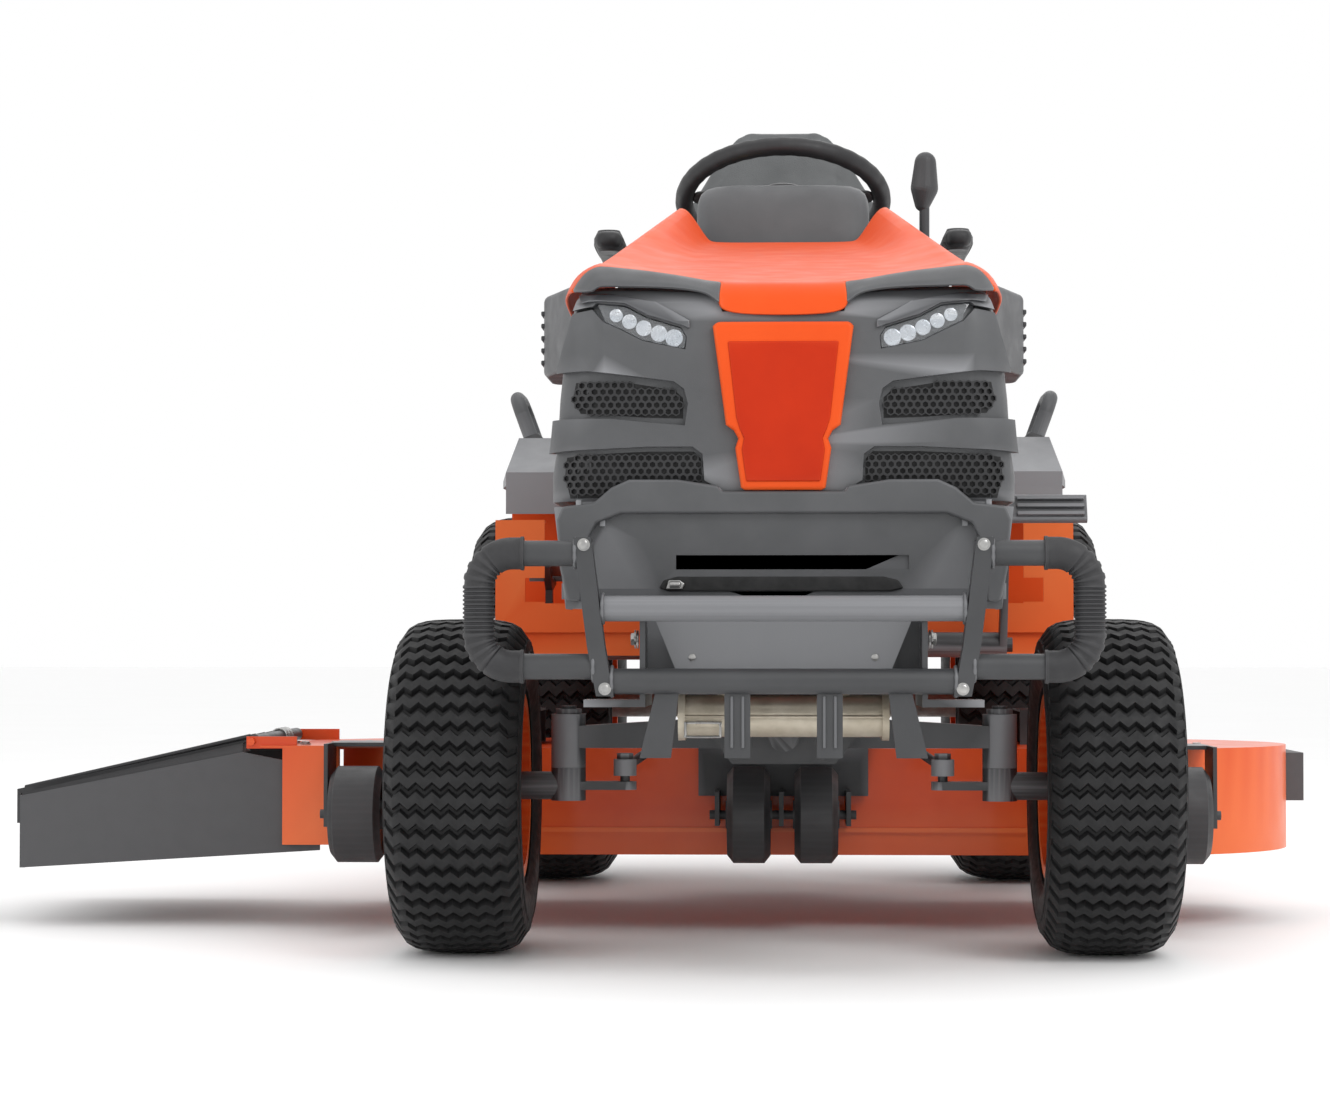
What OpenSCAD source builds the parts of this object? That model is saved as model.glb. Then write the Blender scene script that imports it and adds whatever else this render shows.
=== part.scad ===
// Garden tractor with a front-steered axle, a 54 inch mid-mount mowing deck and a brush guard.
// Every sub-part is drawn in tractor coordinates: X to the tractor's left, Y rearward from the
// front axle, Z up from the ground. placed() moves that frame to the middle of the footprint.

/* [Chassis] */
// Distance between the front and the rear axle
wheelbase = 1270; // [1150:10:1400]
// Width across the outer faces of the two frame rails
frame_w = 300; // [270:5:340]
// Height of a frame rail
rail_h = 80; // [60:1:100]
// Wall of the rails, brackets and cross plates
rail_t = 5; // [3:0.5:8]
// Height of the underside of the rails above the ground
rail_z = 340; // [330:1:360]

/* [Wheels] */
// Outer diameter of a front tyre
front_tyre_d = 406; // [340:1:450]
// Width of a front tyre
front_tyre_w = 165; // [130:1:190]
// Bead diameter of a front rim
front_rim_d = 203; // [180:1:230]
// Distance between the front wheel centres
front_track = 776; // [740:2:840]
// Distance between the two kingpins
kingpin_span = 524; // [480:2:560]
// Outer diameter of a rear tyre
rear_tyre_d = 584; // [500:1:600]
// Width of a rear tyre
rear_tyre_w = 235; // [190:1:250]
// Bead diameter of a rear rim
rear_rim_d = 305; // [270:1:330]
// Distance between the rear wheel centres
rear_track = 760; // [740:2:840]
// Wall of the pressed steel rims
rim_t = 4; // [2.5:0.5:6]
// Wall of the tyre carcass
carcass_t = 9; // [6:0.5:14]
// Diameter of the front stub axles and kingpins
stub_d = 19; // [16:0.5:25]
// Diameter of the rear axle shafts
axle_shaft_d = 25.4; // [20:0.1:32]

/* [Hood] */
// Half width of the grille at its widest
grille_hw = 258; // [230:1:280]
// Distance of the grille face ahead of the front axle
nose_reach = 335; // [300:5:380]
// Height of the seam between the tilting grille and the fixed fascia
seam_z = 535; // [500:1:560]
// Height of the top of the headlight corners
lamp_top_z = 790; // [740:1:840]
// Height of the raised corners at the rear of the hood
horn_z = 966; // [920:1:1000]
// Half distance between those raised corners
horn_hw = 136; // [110:1:170]
// Distance of the hood's rear edge behind the front axle
hood_rear = 400; // [380:1:410]
// Wall of the moulded panels
panel_t = 3.5; // [2.5:0.5:5]

/* [Steering] */
// Height of the steering wheel hub
wheel_hub_z = 1015; // [980:1:1060]
// Distance of the steering wheel hub behind the front axle
wheel_hub_y = 710; // [690:1:740]
// Lean of the steering column from the vertical, in degrees
column_tilt = 25; // [20:0.5:30]
// Outer diameter of the steering wheel
steering_wheel_d = 310; // [280:2:350]
// Thickness of the steering wheel rim
rim_grip_d = 24; // [18:1:30]
// Gear module of the pinion and the sector
gear_m = 2.4; // [2:0.1:3]
// Teeth on the pinion
pinion_teeth = 12; // [11:1:16]
// Teeth that a whole ring of the sector would have
sector_teeth = 84; // [70:1:96]

/* [Deck] */
// Radius swept by the tip of a blade
blade_r = 235; // [200:1:240]
// Sideways distance between neighbouring spindles
spindle_pitch = 451; // [420:1:470]
// Distance of the outer spindles behind the front axle
outer_spindle_y = 578; // [560:1:600]
// Distance of the middle spindle behind the outer ones
spindle_stagger = 150; // [130:1:170]
// Height of the deck skirt's lower edge with the deck raised
deck_low_z = 98; // [80:1:120]
// Height of the deck's top plate with the deck raised
deck_top_z = 238; // [220:1:245]
// Thickness of the deck steel
deck_t = 3; // [2:0.5:5]
// Gap between a blade tip and the deck skirt
tip_gap = 12; // [6:1:15]
// Reach of the discharge deflector beyond the deck side
deflector_reach = 330; // [250:5:360]
// Diameter of the anti-scalp wheels
scalp_d = 125; // [100:1:140]

/* [Guard] */
// Diameter of the brush guard tube
guard_tube_d = 28; // [22:1:34]
// Distance of the guard tubes ahead of the front axle
guard_reach = 430; // [415:1:460]
// Half width of the guard across its side loops
guard_hw = 349; // [320:1:370]

/* [Seat] */
// Width of the seat cushion
seat_w = 480; // [420:5:520]
// Length of the seat cushion
seat_l = 400; // [340:5:430]
// Height of the top of the seat cushion
seat_z = 760; // [740:1:800]
// Height of the top of the seat back
seat_back_z = 1225; // [1150:5:1260]
// Lean of the seat back, in degrees
seat_lean = 13; // [8:0.5:18]

/* [Fits] */
// Radial clearance of a shaft or pin in its bore
pin_fit = 0.05; // [0.02:0.01:0.1]
// Gap between faces that move past each other
face_gap = 0.3; // [0.2:0.05:0.6]
// Gap between neighbouring body panels
panel_gap = 4; // [3:0.5:6]

/* [Hidden] */
$fn = 64;
hull_fn = 32;

orange = [0.87, 0.33, 0.13];
deep_orange = [0.72, 0.18, 0.05];
grey = [0.29, 0.29, 0.30];
black = [0.10, 0.10, 0.11];
steel = [0.62, 0.63, 0.64];
rubber = [0.14, 0.14, 0.14];

cut = 1;
front_z = front_tyre_d / 2;
rear_z = rear_tyre_d / 2;
front_x = front_track / 2;
rear_x = rear_track / 2;
kingpin_x = kingpin_span / 2;
rail_x = frame_w / 2;
rail_top = rail_z + rail_h;

// Front axle and steering linkage
boss_low = front_z + 22;
boss_h = 65;
boss_d = 42;
beam_z = front_z + 62;
beam_h = 32;
pivot_d = 25.4;
pivot_tube_d = 44;
pivot_tube_l = 84;
arm_r = 69;
arm_z = front_z + 5;
joint_stud_d = 12;
joint_eye_d = 28;
joint_eye_h = 20;
eye_z = arm_z + 17;
sector_y = 430;
sector_arm_x = 100;
sector_arm_y = 60;
sector_z = rail_z - 28;
sector_t = 6;
open_eye_r = 16.5;
open_eye_z = sector_z - 22;
// The open eye sits off the stud at rest, so that its travel is even on both sides
eye_shift = [6, 1.5];
gear_angle = 25;
pinion_r = gear_m * pinion_teeth / 2;
sector_r = gear_m * sector_teeth / 2;
pinion_y = sector_y + pinion_r + sector_r;
pinion_shaft_d = 16;
joint_z = wheel_hub_z - (wheel_hub_y - pinion_y) / tan(column_tilt);
cup_r = 15;

// Hood, grille and fascia
hinge_y = -nose_reach + 1;
hinge_z = seam_z - 5;
hinge_pin_d = 8;
hinge_x = 215;
lug_w = 20;
lug_r = 8;
fascia_top = seam_z - 7;
fascia_low = 414;
side_panel_x = 311;

// Dash
dash_hw = 118;
dash_front = 430;
dash_top = 1012;
dash_base = 560;
console_y = 500;
console_low_y = 700;
console_low_z = 835;
console_angle = atan2(dash_top - console_low_z, console_low_y - console_y);

// Fender and seat
floor_z = 400;
floor_front = 500;
step_y = 770;
fender_z = 604;
fender_hw = 397;
fender_rear = wheelbase + 285;
sheet_t = 3;
tunnel_x = 162;
cover_z = fender_z + 4;
rail_seat_z = cover_z + 18;
slider_z = rail_seat_z + 16;
seat_rear_y = 1180;
seat_front_y = seat_rear_y + 20 - seat_l;
seat_hinge_y = seat_front_y + 30;
seat_hinge_z = slider_z + 16;
shell_z = slider_z + 32;
shell_h = 14;
plate_low = [seat_rear_y + 47, shell_z + 20];
plate_high = [seat_rear_y + 57 + (1060 - shell_z) * tan(seat_lean), 1060];
back_base_z = seat_z - 20;
arm_pivot_y = seat_rear_y + 35;
arm_pivot_z = 955;
armrest_in = 241;
armrest_w = 45;

// Deck
skirt_r = blade_r + tip_gap + deck_t;
left_spindle = [spindle_pitch - 7, outer_spindle_y];
right_spindle = [-spindle_pitch - 7, outer_spindle_y];
mid_spindle = [-7, outer_spindle_y + spindle_stagger];
chute_x = -588;
chute_front_y = outer_spindle_y - skirt_r + 22;
chute_rear_y = outer_spindle_y + 190;
flap_hinge_x = right_spindle[0] - skirt_r + 2;
flap_hinge_z = deck_top_z + 8;
flap_pin_d = 10;
flap_tip_x = flap_hinge_x - deflector_reach;
lift_y = 574;
lift_z = rail_z + rail_h / 2 + 4;
lift_shaft_d = 20;
lift_arm_l = 140;
lift_arm_x = rail_x - 50;
lift_arm_angle = 12;
lift_pin_d = 12;
lever_x = 196;
bumper_t = 24;
bracket_t = 3;
left_wheel_x = 513;
right_wheel_x = -553;
brake_x = 300;
brake_y = 455;
brake_z = rail_z + 35;
drive_y = 604;
drive_z = rail_z + 30;
pedal_shaft_d = 20;

sleeve_t = 4.5;
bumper_out_x = left_spindle[0] + skirt_r + bumper_t;
shift_x = -(bumper_out_x + flap_tip_x) / 2;
shift_y = -(wheelbase + rear_z - guard_reach - guard_tube_d / 2 - sleeve_t) / 2;

module placed() {
    translate([shift_x, shift_y, 0]) children();
}

module both_sides() {
    children();
    mirror([1, 0, 0]) children();
}

module rod_x(d, l) {
    rotate([0, 90, 0]) cylinder(d = d, h = l, center = true);
}

module rod_y(d, l) {
    rotate([90, 0, 0]) cylinder(d = d, h = l, center = true);
}

// A round bar from point a to point b
module rod(a, b, d) {
    v = b - a;
    translate(a) rotate([0, acos(v[2] / norm(v)), atan2(v[1], v[0])]) cylinder(d = d, h = norm(v));
}

// A profile in Y and Z, drawn out along X
module extrude_x(l) {
    rotate([90, 0, 90]) linear_extrude(l, center = true) children();
}

// A profile in X and Z, drawn out along Y
module extrude_y(l) {
    rotate([90, 0, 0]) linear_extrude(l, center = true) children();
}

module rounded_rect(w, h, r) {
    square([w - 2 * r, h], center = true);
    square([w, h - 2 * r], center = true);
    for (x = [-1, 1], y = [-1, 1]) translate([x * (w / 2 - r), y * (h / 2 - r)]) circle(r);
}

// A box given by its lower and upper corners
module block(low, high) {
    translate(low) cube(high - low);
}

// A closed solid through rings that have the same number of points. The ends of an arch, whose
// ring runs out along the outside and back along the inside, are closed by quads across its wall.
module loft(rings, arch = false) {
    n = len(rings[0]);
    last = len(rings) - 1;
    points = [for (ring = rings) each ring];
    sides = [for (i = [0:last - 1], j = [0:n - 1]) each let (
        a = i * n + j, b = i * n + (j + 1) % n, c = (i + 1) * n + (j + 1) % n, d = (i + 1) * n + j)
        [[a, b, c], [a, c, d]]];
    strip = [for (j = [0:n / 2 - 2]) [j, j + 1, n - 2 - j, n - 1 - j]];
    front = arch ? [for (q = strip) [q[3], q[2], q[1], q[0]]] : [[for (j = [n - 1:-1:0]) j]];
    back = arch ? [for (q = strip) [for (j = q) last * n + j]] : [[for (j = [0:n - 1]) last * n + j]];
    polyhedron(points, concat(sides, front, back));
}

// ---- Chassis ----

module frame_rails() {
    rear = wheelbase + 190;
    front = -guard_reach + 60;
    plate_z = sector_z + sector_t + face_gap;
    plate_t = rail_z - plate_z + rail_t;
    color(black) {
        both_sides() difference() {
            block([rail_x - 38, front, rail_z], [rail_x, rear, rail_top]);
            block([rail_x - 38 - cut, front - cut, rail_z + rail_t], [rail_x - rail_t, rear + cut, rail_top - rail_t]);
            translate([rail_x, lift_y, lift_z]) rod_x(lift_shaft_d + 2 * pin_fit, 4 * rail_t);
        }
        // Cross plates between the rails
        for (y = [front, 840, rear - rail_t])
            block([-rail_x + rail_t, y, rail_z + rail_t], [rail_x - rail_t, y + rail_t, rail_top - rail_t]);
        // Steering plate with the sector pivot and the bearing of the pinion shaft
        difference() {
            block([-rail_x + rail_t, sector_y - 40, plate_z], [rail_x - rail_t, pinion_y + 26, plate_z + plate_t]);
            translate([0, pinion_y, plate_z - cut])
                cylinder(d = pinion_shaft_d + 2 * pin_fit, h = plate_t + 2 * cut);
        }
        translate([0, sector_y, sector_z - 8]) cylinder(d = 16, h = plate_z - sector_z + 9);
        // Shafts that carry the brake pedal and the drive pedals
        translate([(rail_x + brake_x) / 2 + 4, brake_y, brake_z]) rod_x(pedal_shaft_d, brake_x - rail_x + 12);
        translate([-(rail_x + 340) / 2 - 1, drive_y, drive_z]) rod_x(pedal_shaft_d, 340 - rail_x + 4);
        translate([0, sector_y, sector_z - 8]) cylinder(d = 30, h = 8 - face_gap);
        // Hitch plate
        difference() {
            block([-90, rear, rail_z - 40], [90, rear + 6, rail_top]);
            translate([0, rear, rail_top - 30]) rod_y(13, 40);
        }
        difference() {
            block([-60, rear, rail_z - 40], [60, rear + 70, rail_z - 34]);
            translate([0, rear + 44, rail_z - 40 - cut]) cylinder(d = 19, h = 6 + 2 * cut);
        }
    }
}

module axle_bracket() {
    plate_w = 124;
    plate_t = 6;
    low = beam_z - 34;
    y = pivot_tube_l / 2 + face_gap;
    color(black) {
        for (side = [-1, 1]) difference() {
            translate([0, side * (y + plate_t / 2), 0])
                extrude_y(plate_t) polygon([[-plate_w / 2, low], [plate_w / 2, low], [rail_x - 4, rail_z],
                    [-rail_x + 4, rail_z]]);
            translate([0, side * y, beam_z]) rod_y(pivot_d - cut, 4 * plate_t);
        }
    }
    color(steel) {
        translate([0, 0, beam_z]) rod_y(pivot_d - 2 * pin_fit, 2 * y + 2 * plate_t + 16);
        for (side = [-1, 1]) translate([0, side * (y + plate_t + 4), beam_z]) rod_y(38, 8);
    }
}

module front_axle() {
    tube_r = pivot_tube_d / 2;
    color([0.18, 0.18, 0.19]) difference() {
        union() {
            extrude_y(beam_h) polygon([[-kingpin_x, beam_z - 16], [-70, beam_z - 16], [0, beam_z - 28],
                [70, beam_z - 16], [kingpin_x, beam_z - 16], [kingpin_x, beam_z + 10],
                [60, beam_z + 22], [-60, beam_z + 22], [-kingpin_x, beam_z + 10]]);
            translate([0, 0, beam_z]) rod_y(2 * tube_r, pivot_tube_l);
            for (x = [-kingpin_x, kingpin_x]) translate([x, 0, boss_low]) cylinder(d = boss_d, h = boss_h);
        }
        translate([0, 0, beam_z]) rod_y(pivot_d, pivot_tube_l + 2 * cut);
        for (x = [-kingpin_x, kingpin_x]) translate([x, 0, boss_low - cut])
            cylinder(d = stub_d + 2 * pin_fit, h = boss_h + 2 * cut);
    }
}

// The left spindle: kingpin, knuckle, stub axle and steering arm
module spindle() {
    knuckle_low = front_z - 18;
    knuckle_top = boss_low - face_gap;
    hub_in = front_x - 40 - kingpin_x;
    stub_l = front_x + 50 - kingpin_x;
    color(black) translate([kingpin_x, 0, 0]) {
        translate([0, 0, knuckle_low]) cylinder(d = boss_d, h = knuckle_top - knuckle_low);
        translate([hub_in / 2, 0, front_z]) rod_x(34, hub_in);
    }
    color(steel) translate([kingpin_x, 0, 0]) {
        translate([0, 0, knuckle_low]) cylinder(d = stub_d, h = boss_low + boss_h + 10 - knuckle_low);
        translate([0, 0, boss_low + boss_h + face_gap]) cylinder(d = 32, h = 6);
        translate([stub_l / 2, 0, front_z]) rod_x(stub_d, stub_l);
        translate([stub_l - 4, 0, front_z]) rod_x(30, 8);
    }
    color(black) translate([kingpin_x - arm_r, 0, arm_z - 10]) {
        cylinder(d = joint_eye_d, h = 10);
        block([0, -joint_eye_d / 2, 0], [arm_r, joint_eye_d / 2, 10]);
    }
    color(steel) translate([kingpin_x - arm_r, 0, arm_z]) {
        cylinder(d = joint_stud_d, h = joint_eye_h + 12);
        translate([0, 0, eye_z + joint_eye_h / 2 + face_gap - arm_z]) cylinder(d = 20, h = 7, $fn = 6);
    }
}

module spindle_left() { spindle(); }
module spindle_right() { mirror([1, 0, 0]) spindle(); }

// The left drag link: an eye on the steering arm, a sloping rod and an open eye at the sector
module drag_link() {
    front = [kingpin_x - arm_r, 0, eye_z];
    rear = [sector_arm_x - eye_shift[0], sector_y + sector_arm_y - eye_shift[1], open_eye_z];
    way = (rear - front) / norm(rear - front);
    color(black) {
        translate([0, 0, eye_z - joint_eye_h / 2]) difference() {
            translate([front[0], front[1], 0]) cylinder(d = joint_eye_d, h = joint_eye_h);
            translate([front[0], front[1], -cut])
                cylinder(d = joint_stud_d + 2 * pin_fit, h = joint_eye_h + 2 * cut);
        }
        translate([rear[0], rear[1], open_eye_z - 7]) difference() {
            cylinder(r = open_eye_r + 7, h = 14);
            translate([0, 0, -cut]) cylinder(r = open_eye_r, h = 14 + 2 * cut);
        }
    }
    color(steel) rod(front + way * (joint_eye_d / 2 - 2), rear - way * (open_eye_r + 5), 12);
}

module drag_link_left() { drag_link(); }
module drag_link_right() { mirror([1, 0, 0]) drag_link(); }

// One involute flank point at roll angle a, on base radius rb
function flank(rb, a) = rb * [cos(a) + a * PI / 180 * sin(a), sin(a) - a * PI / 180 * cos(a)];

function roll_at(rb, r) = sqrt(pow(r / rb, 2) - 1) * 180 / PI;

// A tooth pointing along X, of a gear with the given teeth
module tooth(teeth, backlash) {
    r = gear_m * teeth / 2;
    rb = r * cos(gear_angle);
    tip = r + 0.85 * gear_m;
    root = r - 1.2 * gear_m;
    low = max(rb, root);
    half = 90 / teeth - backlash / r * 180 / PI / 2;
    pitch_point = flank(rb, roll_at(rb, r));
    turn = half + atan2(pitch_point[1], pitch_point[0]);
    steps = 6;
    side = [for (i = [0:steps]) let (p = flank(rb, roll_at(rb, low + (tip - low) * i / steps)))
        [p[0] * cos(turn) + p[1] * sin(turn), p[0] * sin(turn) - p[1] * cos(turn)]];
    other = [for (i = [steps:-1:0]) [side[i][0], -side[i][1]]];
    polygon(concat([[root - gear_m, side[0][1]]], side, other, [[root - gear_m, -side[0][1]]]));
}

module steering_pinion() {
    low = sector_z - 4;
    backlash = 0.2;
    color(steel) translate([0, pinion_y, 0]) {
        translate([0, 0, low]) cylinder(r = pinion_r - 1.2 * gear_m, h = sector_t + 4);
        translate([0, 0, sector_z]) linear_extrude(sector_t) for (i = [0:pinion_teeth - 1])
            rotate(-90 + i * 360 / pinion_teeth) tooth(pinion_teeth, backlash);
        translate([0, 0, low]) cylinder(d = pinion_shaft_d, h = joint_z - 30 - low);
        // Cup that holds the ball of the column
        translate([0, 0, joint_z]) rotate_extrude() difference() {
            intersection() {
                circle(r = cup_r + 6);
                translate([0, -cup_r - 6]) square([cup_r + 6, cup_r + 2]);
            }
            circle(r = cup_r + face_gap);
        }
        translate([0, 0, joint_z - 32]) cylinder(d = pinion_shaft_d, h = 14);
    }
}

module steering_sector() {
    backlash = 0.2;
    pitch = 360 / sector_teeth;
    side_teeth = 4;
    plate_r = sector_r - 1.2 * gear_m;
    wedge = (side_teeth + 0.9) * pitch;
    color(steel) translate([0, sector_y, sector_z]) {
        linear_extrude(sector_t) difference() {
            union() {
                for (i = [-side_teeth:side_teeth - 1]) rotate(90 + (i + 0.5) * pitch)
                    tooth(sector_teeth, backlash);
                intersection() {
                    circle(r = plate_r);
                    polygon([[0, 0], 2 * sector_r * [sin(wedge), cos(wedge)],
                        2 * sector_r * [-sin(wedge), cos(wedge)]]);
                }
                circle(r = 30);
                both_sides() polygon([[0, -24], [20, -22], [sector_arm_x + 12, sector_arm_y - 8],
                    [sector_arm_x + 8, sector_arm_y + 12], [0, 60]]);
                both_sides() translate([sector_arm_x, sector_arm_y]) circle(r = 16);
            }
            circle(d = 16 + 2 * pin_fit);
        }
        // Studs for the drag links, with a retaining washer
        both_sides() translate([sector_arm_x, sector_arm_y, 0]) {
            translate([0, 0, -52]) cylinder(d = 10, h = 52);
            translate([0, 0, -52]) cylinder(r = open_eye_r + 2, h = 3);
        }
    }
}

module steering_wheel() {
    ring_r = (steering_wheel_d - rim_grip_d) / 2;
    reach = (wheel_hub_y - pinion_y) / sin(column_tilt);
    hub_h = 34;
    color(black) translate([0, wheel_hub_y, wheel_hub_z]) rotate([-column_tilt, 0, 0]) {
        rotate_extrude() translate([ring_r, 0]) circle(d = rim_grip_d);
        translate([0, 0, -hub_h]) cylinder(d = 92, h = hub_h);
        for (a = [-8, 188, 90]) rotate(a) translate([0, 0, -9])
            linear_extrude(10) translate([ring_r / 2, 0]) square([ring_r, 38], center = true);
        translate([0, 0, -reach]) cylinder(d = pinion_shaft_d, h = reach - hub_h + 2);
        translate([0, 0, -reach]) sphere(r = cup_r);
        translate([0, 0, -hub_h - 56]) cylinder(d1 = 44, d2 = 66, h = 56);
    }
}

// ---- Wheels ----

// A pressed rim about the X axis, centred on its own middle plane
module rim(d, w, dish, shaft_d, hub_l, hub_x) {
    r = d / 2;
    flange = 11;
    rotate([0, 90, 0]) rotate_extrude() difference() {
        union() {
            translate([r - rim_t, -w / 2]) square([rim_t, w]);
            for (z = [-w / 2, w / 2 - rim_t]) translate([r - rim_t, z]) square([flange + rim_t, rim_t]);
            polygon([[shaft_d / 2, dish], [r * 0.55, dish], [r - rim_t, dish * 0.45],
                [r - rim_t, dish * 0.45 + rim_t], [r * 0.55, dish + rim_t], [shaft_d / 2, dish + rim_t]]);
            translate([shaft_d / 2, hub_x - hub_l / 2]) square([11, hub_l]);
        }
        square([shaft_d / 2 + 0.001, 4 * w], center = true);
    }
}

// A tyre carcass about the X axis
module tyre(d, w, bead_d, rim_w) {
    r = d / 2;
    b = bead_d / 2;
    deep = r - b;
    half = w / 2;
    outer = [[b, -rim_w / 2], [b + 14, -rim_w / 2], [b + 0.28 * deep, -half + 4], [b + 0.5 * deep, -half],
        [b + 0.72 * deep, -half + 3], [r - 12, -half + 13], [r, -half + 30],
        [r, half - 30], [r - 12, half - 13], [b + 0.72 * deep, half - 3], [b + 0.5 * deep, half],
        [b + 0.28 * deep, half - 4], [b + 14, rim_w / 2], [b, rim_w / 2]];
    rotate([0, 90, 0]) rotate_extrude() difference() {
        polygon(outer);
        polygon([[b - cut, -rim_w / 2 + 12], [b + 0.3 * deep, -half + carcass_t + 4],
            [b + 0.7 * deep, -half + carcass_t + 3], [r - carcass_t - 4, -half + 30],
            [r - carcass_t - 4, half - 30], [b + 0.7 * deep, half - carcass_t - 3],
            [b + 0.3 * deep, half - carcass_t - 4], [b - cut, rim_w / 2 - 12]]);
    }
}

module front_rim() {
    bead_w = front_tyre_w - 30;
    hub_l = 80;
    color(orange) translate([front_x, 0, front_z])
        rim(front_rim_d, bead_w + 2 * rim_t, 14, stub_d + 2 * pin_fit, hub_l - 2 * face_gap, 0);
}

module rear_rim() {
    bead_w = rear_tyre_w - 35;
    shaft_in = 205;
    color(orange) translate([rear_x, wheelbase, rear_z])
        rim(rear_rim_d, bead_w + 2 * rim_t, 20, axle_shaft_d, 90, 0);
    color(steel) translate([(shaft_in + rear_x + 52) / 2, wheelbase, rear_z])
        rod_x(axle_shaft_d, rear_x + 52 - shaft_in);
}

module front_tyre() {
    color(rubber) translate([front_x, 0, front_z])
        tyre(front_tyre_d, front_tyre_w, front_rim_d, front_tyre_w - 30);
}

module rear_tyre() {
    color(rubber) translate([rear_x, wheelbase, rear_z])
        tyre(rear_tyre_d, rear_tyre_w, rear_rim_d, rear_tyre_w - 35);
}

module front_rim_left() { front_rim(); }
module front_rim_right() { mirror([1, 0, 0]) front_rim(); }
module front_tyre_left() { front_tyre(); }
module front_tyre_right() { mirror([1, 0, 0]) front_tyre(); }
module rear_rim_left() { rear_rim(); }
module rear_rim_right() { mirror([1, 0, 0]) rear_rim(); }
module rear_tyre_left() { rear_tyre(); }
module rear_tyre_right() { mirror([1, 0, 0]) rear_tyre(); }

module transaxle() {
    tube_out = rear_x - 62;
    case_top = rail_z - 2;
    color([0.55, 0.56, 0.58]) difference() {
        union() {
            block([-110, wheelbase - 95, rear_z - 80], [110, wheelbase + 90, case_top]);
            translate([0, wheelbase, rear_z]) rod_x(170, 220);
            both_sides() translate([(tube_out + 100) / 2, wheelbase, rear_z]) rod_x(64, tube_out - 100);
            both_sides() block([rail_x - 34, wheelbase - 36, rear_z], [rail_x - 4, wheelbase + 36, rail_z]);
            translate([0, wheelbase - 130, rear_z - 20]) rod_y(90, 80);
            translate([0, wheelbase - 60, case_top - cut]) cylinder(d = 60, h = 30);
        }
        both_sides() translate([tube_out, wheelbase, rear_z])
            rod_x(axle_shaft_d + 2 * pin_fit, 2 * (tube_out - 200));
    }
}

// ---- Engine ----

crank = [0, 130];
engine_z = rail_top + 6;
crank_shaft_d = 25.4;
crank_pulley_z = rail_z - 26;

module finned_cylinder() {
    fin_pitch = 11;
    fins = 8;
    translate([95, 0, 0]) {
        rod_x(96, 130);
        for (i = [0:fins - 1]) translate([-30 + i * fin_pitch, 0, 0]) cube([4, 132, 124], center = true);
        translate([82, 0, 0]) cube([36, 120, 112], center = true);
    }
}

module engine_block() {
    bank_z = engine_z + 78;
    color(black) {
        difference() {
            union() {
                block([-rail_x, -60, rail_top], [rail_x, 330, engine_z]);
                translate([crank[0], crank[1], engine_z]) cylinder(d = 250, h = 150);
                translate([crank[0], crank[1], rail_z + 10]) cylinder(d = 84, h = engine_z - rail_z);
            }
            translate([crank[0], crank[1], rail_z + 10 - cut])
                cylinder(d = crank_shaft_d + 2 * pin_fit, h = 50);
        }
    }
    color(steel) for (a = [-45, -135])
        translate([crank[0], crank[1], bank_z]) rotate(a) translate([60, 0, 0]) finned_cylinder();
}

module engine_shroud() {
    low = engine_z + 150;
    color(black) translate([crank[0], crank[1], low]) {
        difference() {
            cylinder(d = 300, h = 86);
            translate([0, 0, 84]) for (a = [0:30:330]) rotate(a) translate([60, -7, 0]) cube([70, 14, cut + 2]);
        }
        translate([0, 0, 86]) cylinder(d = 190, h = 14);
        translate([-120, 60, 20]) cube([240, 110, 76]);
    }
}

module crank_pulley() {
    groove = [[12.7, -2], [62, -2], [62, 0], [50, 9], [62, 18], [62, 20], [12.7, 20]];
    color(steel) translate([crank[0], crank[1], crank_pulley_z]) {
        rotate_extrude() polygon(groove);
        cylinder(d = crank_shaft_d, h = 74);
        translate([0, 0, -8]) cylinder(d = 30, h = 8, $fn = 6);
    }
}

module muffler() {
    low = rail_z - 73;
    high = rail_z - 25;
    mid = (low + high) / 2;
    pipe_d = 30;
    color([0.72, 0.68, 0.60]) {
        translate([0, -150, mid]) extrude_x(240) rounded_rect(100, high - low, 20);
        both_sides() translate([118, -150, mid]) extrude_x(8) rounded_rect(108, high - low + 8, 24);
        both_sides() {
            rod([62, -150, high - 6], [62, -150, engine_z + 40], pipe_d);
            translate([62, -150, engine_z + 40]) sphere(d = pipe_d + 3);
            rod([62, -150, engine_z + 40], [121.4, -84, engine_z + 72], pipe_d);
        }
    }
}

module heat_shield() {
    y = -guard_reach + 38;
    color(grey) {
        translate([0, y, rail_z + 32]) extrude_y(3) polygon([[-118, -26], [118, -26], [140, 28], [-140, 28]]);
        both_sides() block([84, y + 1, rail_z + 24], [96, -guard_reach + 60 - face_gap, rail_z + 40]);
    }
}

// ---- Brush guard ----

guard_y = -guard_reach;
guard_r = guard_tube_d / 2;
loop_x = guard_hw - guard_r - sleeve_t;
loop_top = 473;
loop_low = 350;
loop_bend = 36;

module loop_bends(r_out, r_in) {
    for (end = [[loop_top - loop_bend, 0], [loop_low + loop_bend, -90]])
        translate([loop_x - loop_bend, guard_y, end[0]]) rotate([90, 0, 0])
            rotate(end[1]) rotate_extrude(angle = 90) translate([loop_bend, 0]) difference() {
                circle(r_out);
                circle(r_in);
            }
}

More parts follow.
